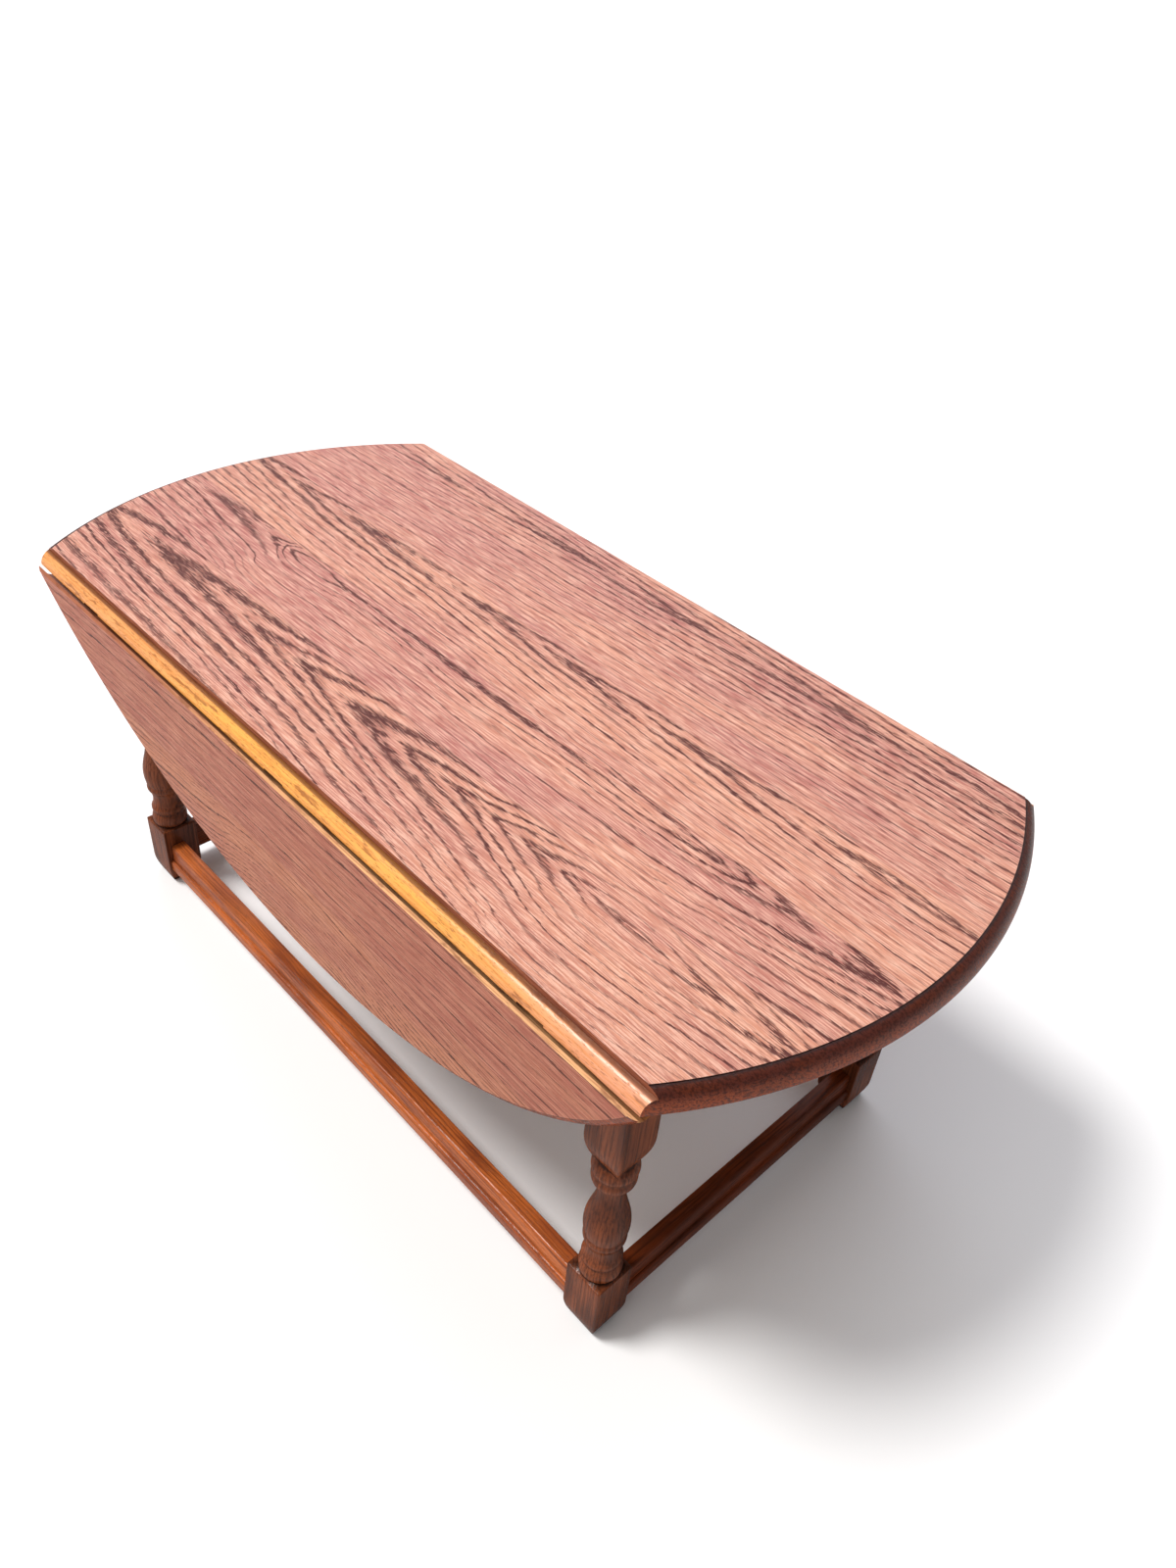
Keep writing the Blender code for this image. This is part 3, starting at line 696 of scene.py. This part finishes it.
class Shader:
    """A node material under construction, in the object's own coordinates."""

    def __init__(self, name):
        self.material = bpy.data.materials.new(name)
        self.material.use_nodes = True
        self.tree = self.material.node_tree
        self.surface = self.tree.nodes["Principled BSDF"]
        self.position = self.node("ShaderNodeTexCoord").outputs["Object"]
        split = self.node("ShaderNodeSeparateXYZ")
        self.tree.links.new(self.position, split.inputs[0])
        self.x, self.y, self.z = (Signal(self, output) for output in split.outputs)

    def node(self, kind, **settings):
        made = self.tree.nodes.new(kind)
        for key, value in settings.items():
            setattr(made, key, value)
        return made

    def feed(self, socket, value):
        if isinstance(value, Signal):
            self.tree.links.new(value.socket, socket)
        else:
            socket.default_value = value

    def math(self, operation, *values):
        made = self.node("ShaderNodeMath", operation=operation)
        for socket, value in zip(made.inputs, values):
            self.feed(socket, value)
        return Signal(self, made.outputs[0])

    def ramp(self, value, low, high, smooth):
        made = self.node("ShaderNodeMapRange")
        made.interpolation_type = "SMOOTHSTEP" if smooth else "LINEAR"
        self.feed(made.inputs["Value"], value)
        made.inputs["From Min"].default_value = low
        made.inputs["From Max"].default_value = high
        return Signal(self, made.outputs["Result"])

    def noise(self, place, sizes, detail=2.0, seed=0.0, roughness=0.5):
        """Noise from 0 to 1 whose blotches have the given sizes, in metres, along three directions."""
        join = self.node("ShaderNodeCombineXYZ")
        for socket, value, size in zip(join.inputs, place, sizes):
            self.feed(socket, value / size + seed)
        made = self.node("ShaderNodeTexNoise")
        made.inputs["Scale"].default_value = 1.0
        made.inputs["Detail"].default_value = detail
        made.inputs["Roughness"].default_value = roughness
        self.tree.links.new(join.outputs[0], made.inputs["Vector"])
        return Signal(self, made.outputs[0])

    def dots(self, value):
        """A random number from 0 to 1 for each value."""
        made = self.node("ShaderNodeTexWhiteNoise", noise_dimensions="1D")
        self.feed(made.inputs["W"], value)
        return Signal(self, made.outputs["Value"])

    def curve(self, value, points):
        """value mapped through a smooth curve of (input, output) points."""
        first, last = points[0][0], points[-1][0]
        top = max(output for _, output in points)
        made = self.node("ShaderNodeFloatCurve")
        line = made.mapping.curves[0]
        for place, output in points[1:-1]:
            line.points.new((place - first) / (last - first), output / top)
        line.points[0].location = (0.0, points[0][1] / top)
        line.points[len(points) - 1].location = (1.0, points[-1][1] / top)
        made.mapping.update()
        self.feed(made.inputs["Value"], (value - first) / (last - first))
        return Signal(self, made.outputs["Value"]) * top

    def mix(self, share, first, second):
        """A colour between two, each given as a colour or as an earlier mix."""
        made = self.node("ShaderNodeMix", data_type="RGBA")
        self.feed(made.inputs["Factor"], share)
        self.feed(made.inputs[6], first)
        self.feed(made.inputs[7], second)
        return Signal(self, made.outputs[2])

    def finish(self, colour, roughness, height, depth, bare_gloss=0.0, **settings):
        """Connects the surface. height is in parts of depth, which is in metres."""
        self.surface.inputs["Specular IOR Level"].default_value = bare_gloss
        self.feed(self.surface.inputs["Base Color"], colour)
        self.feed(self.surface.inputs["Roughness"], roughness)
        bump = self.node("ShaderNodeBump")
        bump.inputs["Strength"].default_value = 1.0
        bump.inputs["Distance"].default_value = depth
        self.feed(bump.inputs["Height"], height)
        for name in ("Normal", "Coat Normal"):
            self.tree.links.new(bump.outputs[0], self.surface.inputs[name])
        for key, value in settings.items():
            self.surface.inputs[key.replace("_", " ").title()].default_value = value
        return self.material


# One board of a glued-up panel: where it lies across the grain, where its growth rings are centred,
# how that centre drifts along it, ring spacing, depth of the rings' centre along it, tone and seed
Board = namedtuple("Board", "low high centre drift spacing depths tone seed")

TOP_BOARDS = (
    Board(0.070, 0.300, 0.222, 0.0, 0.0094,
          ((-0.57, 0.006), (-0.40, 0.012), (-0.29, 0.020), (-0.06, 0.030),
           (0.17, 0.040), (0.50, 0.052), (0.57, 0.056)), 0.35, 3.1),
    Board(-0.033, 0.070, 0.056, 0.0, 0.0098,
          ((-0.57, 0.074), (-0.47, 0.066), (-0.35, 0.056), (-0.14, 0.046), (0.02, 0.037),
           (0.20, 0.027), (0.40, 0.017), (0.48, 0.013), (0.57, 0.020)), 0.72, 7.7),
    Board(-0.133, -0.033, -0.044, 0.0, 0.0104,
          ((-0.57, 0.052), (-0.42, 0.040), (-0.34, 0.026), (-0.273, 0.003), (-0.20, 0.012),
           (0.02, 0.010), (0.20, 0.012), (0.33, 0.020), (0.39, 0.030), (0.44, 0.040),
           (0.50, 0.051), (0.57, 0.062)), 0.30, 1.9),
    Board(-0.300, -0.133, -0.160, 0.0, 0.0110,
          ((-0.57, 0.116), (-0.397, 0.099), (-0.19, 0.088), (-0.073, 0.077), (0.01, 0.066),
           (0.073, 0.055), (0.163, 0.044), (0.213, 0.033), (0.26, 0.022), (0.297, 0.011),
           (0.35, 0.004), (0.41, 0.011), (0.49, 0.022), (0.57, 0.036)), 0.62, 5.3),
)
NEAR_LEAF_BOARDS = (
    Board(0.343, 0.500, 0.640, 0.030, 0.0115,
          ((-0.57, 0.05), (-0.10, 0.06), (0.20, 0.05), (0.57, 0.04)), 0.10, 2.3),
    Board(0.180, 0.343, 0.205, 0.0, 0.0075,
          ((-0.57, 0.085), (-0.20, 0.060), (0.00, 0.018), (0.10, 0.034),
           (0.22, 0.060), (0.57, 0.090)), 0.60, 6.1),
)
FAR_LEAF_BOARDS = (
    Board(0.360, 0.500, 0.415, 0.010, 0.0100,
          ((-0.57, 0.020), (-0.20, 0.045), (0.15, 0.070), (0.57, 0.100)), 0.45, 8.4),
    Board(0.180, 0.360, 0.560, -0.012, 0.0095,
          ((-0.57, 0.05), (0.00, 0.07), (0.57, 0.05)), 0.20, 4.6),
)
UNDER_BOARDS = (
    Board(-0.600, -0.090, -0.210, 0.0, 0.0105,
          ((-0.57, 0.03), (-0.10, 0.08), (0.57, 0.03)), 0.4, 9.2),
    Board(-0.090, 0.080, 0.220, 0.0, 0.0090, ((-0.57, 0.04), (0.57, 0.06)), 0.6, 2.8),
    Board(0.080, 0.600, 0.150, 0.0, 0.0110, ((-0.57, 0.09), (0.10, 0.03), (0.57, 0.07)), 0.5, 6.6),
)
# Below 2 the rings' arches come to a point along the board
POINTED = 1.3


def board_rings(shader, along, across, boards, wander):
    """Over a panel of boards: growth ring number, how flat the grain lies, tone and seams."""
    rings, flat, tone, seam = (across * 0.0 for _ in range(4))
    for board in boards:
        inside = (across > board.low) * (across < board.high)
        sideways = (across - board.centre - along * board.drift + wander).magnitude() + 0.002
        depth = shader.curve(along, board.depths)
        radius = (sideways.power(POINTED) + depth.power(POINTED)).power(1 / POINTED)
        uneven = shader.noise((radius, along, across), (0.022, 2.0, 2.0), detail=0.0, seed=board.seed)
        rings = rings + (radius / board.spacing + uneven * 1.6 + 7 * board.seed) * inside
        flat = flat + depth / radius * inside
        tone = tone + inside * board.tone
    for board in boards[:-1]:
        seam = seam + (across - board.low).magnitude().within(0.0007, 0.0002)
    return rings, flat, tone, seam


def panel_oak(name, boards, upright, colours, gloss, coat=0.0):
    """Stained flat-sawn oak. The grain runs along X, across Y, or across Z on an upright panel."""
    shader = Shader(name)
    along = shader.x
    across, through = (shader.z, shader.y) if upright else (shader.y, shader.z)
    place = (along, across, through)
    sway = shader.noise(place, (0.22, 0.050, 0.5), detail=2.0, seed=4.0) - 0.5
    wave = shader.noise(place, (0.055, 0.010, 0.5), detail=3.0, seed=11.0) - 0.5
    dash = shader.noise(place, (0.022, 0.0014, 0.02), detail=3.0, seed=23.0, roughness=0.65) - 0.5
    rings, flat, tone, seam = board_rings(shader, along, across, boards, sway * 0.016 + wave * 0.006)
    turn = (rings + dash * (flat * flat * 1.6 + 0.45)).fraction()
    width = flat * flat * 0.26 + 0.15
    band = (turn / width).within(1.25, 0.7) * turn.within(0.0, 0.04)
    strong = shader.dots(rings.floor()) * 0.45 + flat * flat * 0.50 + 0.38
    fibre = shader.noise(place, (0.034, 0.0012, 0.02), detail=3.0, seed=71.0, roughness=0.6)
    streak = shader.noise(place, (0.05, 0.0026, 0.05), detail=3.0, seed=31.0, roughness=0.6)
    pore = shader.noise(place, (0.0060, 0.00060, 0.01), detail=2.0, seed=47.0, roughness=0.7)
    cloud = shader.noise(place, (0.16, 0.045, 0.6), detail=2.0, seed=59.0)
    dark = band * strong * (dash * 1.4 + 0.95)
    fleck = pore.within(0.54, 0.68)
    warmth = tone + along * 0.30 + cloud * 1.8 - 0.9
    base = shader.mix(warmth.within(0.0, 1.0), colours["cool"], colours["warm"])
    base = shader.mix(streak.within(0.44, 0.66) * 0.45, base, colours["mid"])
    base = shader.mix(turn.within(0.60, 1.0, False) * 0.30, base, colours["mid"])
    base = shader.mix(fibre.within(0.43, 0.61) * 0.56, base, colours["pale"])
    base = shader.mix(fleck * 0.34, base, colours["pore"])
    base = shader.mix(dark.within(0.04, 0.86), base, colours["line"])
    base = shader.mix(seam * 0.30, base, colours["line"])
    roughness = dark * 0.10 + fleck * 0.10 + gloss + (cloud - 0.5) * 0.08
    height = 1.0 - dark * 0.55 - fleck * 0.45 - seam * 0.3
    return shader.finish(base, roughness, height, 0.00022, coat_weight=coat, coat_roughness=0.28)


TOP_COLOURS = {
    "cool": linear(176, 108, 100),
    "warm": linear(208, 144, 118),
    "mid": linear(154, 86, 78),
    "pale": linear(248, 202, 180),
    "pore": linear(112, 62, 56),
    "line": linear(92, 48, 44),
}
# Darker than the centre top's colours.
LEAF_COLOURS = {
    "cool": linear(162, 93, 76),
    "warm": linear(182, 116, 84),
    "mid": linear(140, 76, 60),
    "pale": linear(208, 148, 120),
    "pore": linear(102, 54, 44),
    "line": linear(80, 40, 32),
}
UNDER_COLOURS = {
    "cool": linear(150, 104, 74),
    "warm": linear(172, 124, 88),
    "mid": linear(136, 92, 64),
    "pale": linear(180, 136, 100),
    "pore": linear(84, 56, 40),
    "line": linear(98, 64, 46),
}


def golden_edge():
    """Honey coloured quarter round, rubbed through its stain, under a rose-brown step, with a dark line
    in the crease under the step, partly stain and partly painted shade.
    """
    shader = Shader("oak_joint_gold")
    place = (shader.x, shader.y, shader.z)
    streak = shader.noise(place, (0.060, 0.0022, 0.0022), detail=3.0, seed=5.0, roughness=0.6)
    patch = shader.noise(place, (0.050, 0.008, 0.008), detail=3.0, seed=17.0, roughness=0.65)
    tint = shader.noise(place, (0.30, 0.05, 0.05), detail=1.0, seed=29.0)
    pore = shader.noise(place, (0.007, 0.0008, 0.0008), detail=2.0, seed=37.0)
    honey = shader.mix(tint.within(0.38, 0.62), linear(232, 160, 98), linear(240, 168, 82))
    honey = shader.mix(shader.x.within(0.22, 0.46), honey, linear(222, 152, 116))
    honey = shader.mix(streak.within(0.42, 0.62) * 0.55, honey, linear(200, 122, 58))
    brown = patch.within(0.58, 0.66) * 0.60
    honey = shader.mix(brown, honey, linear(122, 66, 36))
    honey = shader.mix(pore.within(0.56, 0.68) * 0.50, honey, linear(104, 56, 26))
    step = shader.z.within(STEP_BOTTOM - 0.0003, STEP_BOTTOM + 0.0005)
    rose = shader.mix(streak.within(0.40, 0.60), linear(152, 88, 62), linear(116, 62, 46))
    honey = shader.mix(step, honey, rose)
    # Dark line in the crease under the step: partly stain, partly painted shade.
    crease_stain_and_shade = (shader.z - STEP_BOTTOM).magnitude().within(0.0010, 0.0003) * 0.75
    honey = shader.mix(crease_stain_and_shade, honey, linear(84, 36, 20))
    roughness = streak * 0.12 + 0.17 + brown * 0.1
    height = 1.0 - pore.within(0.56, 0.68) * 0.6 - patch * 0.8
    return shader.finish(honey, roughness, height, 0.00010, coat_weight=0.50, coat_roughness=0.22)


def leaf_lip():
    """Light tan lip and hollow of a leaf's rule joint, paler towards +X."""
    shader = Shader("oak_joint_tan")
    place = (shader.x, shader.y, shader.z)
    streak = shader.noise(place, (0.045, 0.0020, 0.0020), detail=3.0, seed=6.0, roughness=0.6)
    patch = shader.noise(place, (0.030, 0.010, 0.010), detail=3.0, seed=18.0, roughness=0.65)
    right = shader.x.within(-0.35, 0.15)
    tan = shader.mix(right, linear(168, 104, 76), linear(226, 172, 122))
    tan = shader.mix(streak.within(0.42, 0.62) * 0.55, tan, linear(140, 84, 56))
    tan = shader.mix(patch.within(0.54, 0.66) * 0.60, tan, linear(118, 68, 48))
    roughness = streak * 0.12 + 0.24
    height = 1.0 - streak * 0.8 - patch * 0.4
    return shader.finish(tan, roughness, height, 0.0002, coat_weight=0.3, coat_roughness=0.25)


def end_moulding():
    """Red-brown thumb moulding round the curved edges, with long grain and a dark line at the small step
    under the top, partly stain and partly painted shade.
    """
    shader = Shader("oak_end_moulding")
    place = (shader.x, shader.y, shader.z)
    long_x = shader.noise(place, (0.050, 0.0024, 0.0016), detail=3.0, seed=3.0, roughness=0.6)
    fleck = shader.noise(place, (0.0100, 0.0011, 0.0011), detail=3.0, seed=13.0, roughness=0.6)
    patch = shader.noise(place, (0.05, 0.05, 0.02), detail=2.0, seed=21.0)
    low = shader.z.within(HEIGHT - 0.004, HEIGHT - 0.014)
    red = shader.mix(low, linear(80, 38, 30), linear(146, 64, 26))
    red = shader.mix(patch.within(0.42, 0.62) * 0.5, red, linear(96, 42, 20))
    red = shader.mix(long_x.within(0.46, 0.60) * 0.70, red, linear(50, 22, 14))
    red = shader.mix(fleck.within(0.50, 0.64) * 0.45, red, linear(42, 20, 16))
    # Dark line at the step under the top arris: partly stain, partly painted shade.
    below = shader.z.within(HEIGHT + 0.0002, HEIGHT - 0.0003)
    step_line_stain_and_shade = shader.z.within(HEIGHT - 0.0016, HEIGHT - 0.0008) * below
    red = shader.mix(step_line_stain_and_shade * 0.90, red, linear(30, 16, 16))
    roughness = fleck * 0.20 + 0.16
    height = 1.0 - fleck.within(0.48, 0.64) * 0.7 - long_x * 0.6
    return shader.finish(red, roughness, height, 0.00014, coat_weight=0.42, coat_roughness=0.14)


# On the legs the last colour paints the turned ridges lighter, partly wear and partly painted highlight.
DARK_COLOURS = {
    "light": linear(126, 66, 38),
    "mid": linear(90, 45, 26),
    "dark": linear(32, 16, 11),
    "worn": linear(168, 100, 64),
}
STRETCHER_COLOURS = {
    "light": linear(188, 100, 46),
    "mid": linear(146, 72, 36),
    "dark": linear(74, 32, 18),
    "worn": linear(214, 132, 72),
}
# A darker copy of the long stretchers' colours: the end stretchers' shade under the top is painted into
# their colour.
END_STRETCHER_SHADED_COLOURS = {
    "light": linear(118, 54, 26),
    "mid": linear(90, 42, 24),
    "dark": linear(38, 19, 14),
    "worn": linear(150, 80, 44),
}
RAIL_COLOURS = {
    "light": linear(126, 72, 50),
    "mid": linear(94, 52, 38),
    "dark": linear(48, 27, 23),
    "worn": linear(150, 96, 64),
}
HIDDEN_COLOURS = {
    "light": linear(196, 156, 110),
    "mid": linear(172, 130, 88),
    "dark": linear(120, 84, 54),
    "worn": linear(206, 170, 128),
}
BEECH_COLOURS = {
    "light": linear(222, 182, 138),
    "mid": linear(206, 162, 116),
    "dark": linear(170, 122, 82),
    "worn": linear(228, 194, 154),
}


def solid_oak(name, axis, colours, gloss, relief=False, coat=0.0):
    """Oak in the solid for legs, rails and bars, with its grain along axis 0, 1 or 2."""
    shader = Shader(name)
    place = [shader.x, shader.y, shader.z]
    place = [place[axis], place[(axis + 1) % 3], place[(axis + 2) % 3]]
    bend = shader.noise(place, (0.14, 0.030, 0.030), detail=1.0, seed=9.0) - 0.5
    dash = shader.noise(place, (0.012, 0.0010, 0.0010), detail=3.0, seed=19.0, roughness=0.65) - 0.5
    rings = (place[1] * 0.85 + place[2] * 0.55 + bend * 0.016) / 0.0042 + dash * 0.7
    turn = rings.fraction()
    line = turn.within(0.55, 0.15) * turn.within(0.0, 0.08) * (dash * 0.8 + 0.9)
    streak = shader.noise(place, (0.10, 0.0022, 0.0022), detail=3.0, seed=33.0, roughness=0.6)
    pore = shader.noise(place, (0.008, 0.0006, 0.0006), detail=2.0, seed=41.0, roughness=0.7)
    cloud = shader.noise(place, (0.12, 0.030, 0.030), detail=2.0, seed=53.0)
    fleck = pore.within(0.56, 0.70)
    colour = shader.mix(cloud.within(0.35, 0.65), colours["mid"], colours["light"])
    colour = shader.mix(streak.within(0.45, 0.66) * 0.55, colour, colours["dark"])
    colour = shader.mix(line.within(0.05, 0.95) * 0.34, colour, colours["dark"])
    colour = shader.mix(fleck * 0.40, colour, colours["dark"])
    if relief:
        # Relief paints the turned grooves darker, partly dirt and partly painted shade, and the ridges
        # lighter, partly wear and partly painted highlight.
        attribute = shader.node("ShaderNodeAttribute", attribute_name="relief")
        form = Signal(shader, attribute.outputs["Fac"])
        colour = shader.mix(form.within(-0.10, -0.70) * 0.85, colour, colours["dark"])
        ridge_wear_and_highlight = form.within(0.25, 1.1) * streak.within(0.35, 0.60)
        colour = shader.mix(ridge_wear_and_highlight * 0.30, colour, colours["worn"])
    roughness = fleck * 0.12 + line * 0.08 + gloss
    height = 1.0 - line * 0.45 - fleck * 0.50
    return shader.finish(colour, roughness, height, 0.00020, coat_weight=coat, coat_roughness=0.18)


def metal(name, bright, dull, gloss):
    """Brass or steel with tarnish, fine scratches and small dents."""
    shader = Shader(name)
    place = (shader.x, shader.y, shader.z)
    tarnish = shader.noise(place, (0.006, 0.006, 0.006), detail=4.0, seed=2.0, roughness=0.65)
    scratch = shader.noise(place, (0.0120, 0.0004, 0.0012), detail=2.0, seed=8.0)
    speck = shader.noise(place, (0.0011, 0.0011, 0.0011), detail=2.0, seed=15.0)
    colour = shader.mix(tarnish.within(0.40, 0.66), bright, dull)
    colour = shader.mix(speck.within(0.62, 0.72) * 0.6, colour, dull)
    roughness = tarnish * 0.25 + gloss + scratch.within(0.55, 0.7) * 0.12
    height = scratch * 0.5 + speck * 0.3
    return shader.finish(colour, roughness, height, 0.00006, bare_gloss=0.5, metallic=1.0)


def floor_material():
    shader = Shader("studio_floor")
    place = (shader.x, shader.y, shader.z)
    cloud = shader.noise(place, (0.9, 0.9, 0.9), detail=2.0, seed=1.0)
    colour = shader.mix(cloud * 0.10, linear(243, 243, 244), linear(232, 232, 234))
    return shader.finish(colour, 0.7, cloud * 0.2, 0.0004, bare_gloss=0.1)


# Studio


FLOOR_HALF = 30.0


def add_floor():
    mesh_data = bpy.data.meshes.new("studio_floor")
    corners = [(x * FLOOR_HALF, y * FLOOR_HALF, 0) for x, y in ((-1, -1), (1, -1), (1, 1), (-1, 1))]
    mesh_data.from_pydata(corners, [], [(0, 1, 2, 3)])
    floor = bpy.data.objects.new("studio_floor", mesh_data)
    mesh_data.materials.append(floor_material())
    bpy.context.scene.collection.objects.link(floor)


class Sky(Shader):
    """The world as a shader: x, y and z are the direction in which the sky is seen."""

    def __init__(self, name):
        self.world = bpy.data.worlds.new(name)
        self.world.use_nodes = True
        self.tree = self.world.node_tree
        self.surface = self.tree.nodes["Background"]
        self.position = self.node("ShaderNodeTexCoord").outputs["Generated"]
        split = self.node("ShaderNodeSeparateXYZ")
        self.tree.links.new(self.position, split.inputs[0])
        self.x, self.y, self.z = (Signal(self, output) for output in split.outputs)

    def glow(self, towards, wide, narrow):
        """1 within narrow degrees of a direction, falling to 0 at wide degrees."""
        spot = Vector(towards).normalized()
        along = self.x * spot.x + self.y * spot.y + self.z * spot.z
        return along.within(math.cos(math.radians(wide)), math.cos(math.radians(narrow)))


SUN_TOWARDS = (-0.37, -0.35, 0.86)
SUN_POWER = 2.5
SUN_SPREAD = 17


def add_sun():
    data = bpy.data.lights.new("key_light", "SUN")
    data.energy = SUN_POWER
    data.angle = math.radians(SUN_SPREAD)
    data.color = (1.0, 0.985, 0.96)
    light = bpy.data.objects.new("key_light", data)
    light.rotation_euler = Vector(SUN_TOWARDS).to_track_quat("Z", "Y").to_euler()
    bpy.context.scene.collection.objects.link(light)


FRONT_WINDOW = (-0.25, -0.62, 0.74)
BACK_WINDOW = (-0.50, 0.55, 0.67)


def add_sky():
    """A white room with pale walls, dimmer above, and windows in front and behind on the left."""
    sky = Sky("studio")
    above = sky.mix(sky.x.within(-0.1, 0.8), (0.40, 0.40, 0.40, 1.0), (0.12, 0.12, 0.12, 1.0))
    wall = sky.mix(sky.x.within(0.2, 0.9), (0.70, 0.70, 0.71, 1.0), (0.44, 0.44, 0.45, 1.0))
    low = sky.z.within(0.46, 0.16) * sky.z.within(-0.05, 0.0)
    room = sky.mix(low, above, wall)
    room = sky.mix(sky.glow(FRONT_WINDOW, 38, 16), room, (1.5, 1.46, 1.40, 1.0))
    room = sky.mix(sky.glow(BACK_WINDOW, 42, 14), room, (1.50, 1.50, 1.60, 1.0))
    sky.feed(sky.surface.inputs["Color"], room)
    sky.surface.inputs["Strength"].default_value = 1.0
    bpy.context.scene.world = sky.world


CAMERA_SPOT = (0.7889, -0.6838, 1.1811)
CAMERA_TURN = (50.59, -5.04, 46.165)
CAMERA_LENS = 27.54
CAMERA_SHIFT = -0.0146


def add_camera():
    data = bpy.data.cameras.new("camera")
    data.lens = CAMERA_LENS
    data.sensor_width = 36.0
    data.shift_x = CAMERA_SHIFT
    data.clip_end = 200.0
    camera = bpy.data.objects.new("camera", data)
    camera.location = CAMERA_SPOT
    camera.rotation_euler = [math.radians(angle) for angle in CAMERA_TURN]
    bpy.context.scene.collection.objects.link(camera)
    bpy.context.scene.camera = camera


def dress(names, material):
    for name in names:
        node = frame["nodes"][name]
        node.data.materials.clear()
        node.data.materials.append(material)


def dress_frame():
    """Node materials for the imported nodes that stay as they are."""
    nodes = sorted(frame["nodes"])
    brass = metal("brass_aged", linear(196, 152, 84), linear(110, 78, 44), 0.22)
    steel = metal("steel_aged", linear(172, 170, 166), linear(92, 84, 78), 0.25)
    dress([n for n in nodes if n.startswith(("hinge_top", "hinge_leaf"))], brass)
    dress([n for n in nodes if n.startswith("hinge_pin")], steel)
    dress(["rail_near", "rail_far"], solid_oak("oak_rail_long", 0, RAIL_COLOURS, 0.34, coat=0.15))
    dress(["rail_left", "rail_right"], solid_oak("oak_rail_end", 1, RAIL_COLOURS, 0.34, coat=0.15))
    hidden_x = solid_oak("oak_bare_x", 0, HIDDEN_COLOURS, 0.55)
    hidden_y = solid_oak("oak_bare_y", 1, HIDDEN_COLOURS, 0.55)
    pegs = [n for n in nodes if n.startswith("loper_stop_peg")]
    dress(pegs, solid_oak("beech_peg", 0, BEECH_COLOURS, 0.5))
    dress([n for n in nodes if n.startswith("loper_") and n not in pegs], hidden_y)
    dress([n for n in nodes if n.startswith("top_button_long")], hidden_y)
    short = [n for n in nodes if n.startswith("top_button") and "long" not in n]
    dress(short, hidden_x)
    return brass, steel


BRASS, STEEL = dress_frame()
GOLD = golden_edge()
MOULDING = end_moulding()
LIP = leaf_lip()
UNDER_FLAT = panel_oak("oak_under_top", UNDER_BOARDS, False, UNDER_COLOURS, 0.5)
UNDER_UPRIGHT = panel_oak("oak_under_leaf", UNDER_BOARDS, True, UNDER_COLOURS, 0.5)
TOP_OAK = panel_oak("oak_top_boards", TOP_BOARDS, False, TOP_COLOURS, 0.36, coat=0.40)
NEAR_OAK = panel_oak("oak_near_leaf", NEAR_LEAF_BOARDS, True, LEAF_COLOURS, 0.38, coat=0.22)
FAR_OAK = panel_oak("oak_far_leaf", FAR_LEAF_BOARDS, True, LEAF_COLOURS, 0.38, coat=0.22)
add_centre_top([TOP_OAK, GOLD, MOULDING, UNDER_FLAT])
add_leaf("near", -1, [NEAR_OAK, LIP, MOULDING, UNDER_UPRIGHT])
add_leaf("far", 1, [FAR_OAK, LIP, MOULDING, UNDER_UPRIGHT])
add_legs(solid_oak("oak_leg", 2, DARK_COLOURS, 0.26, relief=True, coat=0.28))
add_stretchers(
    solid_oak("oak_stretcher_long", 0, STRETCHER_COLOURS, 0.26, coat=0.40),
    solid_oak("oak_stretcher_end", 1, END_STRETCHER_SHADED_COLOURS, 0.26, coat=0.25),
)
add_hinge_screws(BRASS)
add_button_screws(STEEL)
add_floor()
add_sun()
add_sky()
add_camera()
bpy.context.scene.view_settings.view_transform = "Standard"
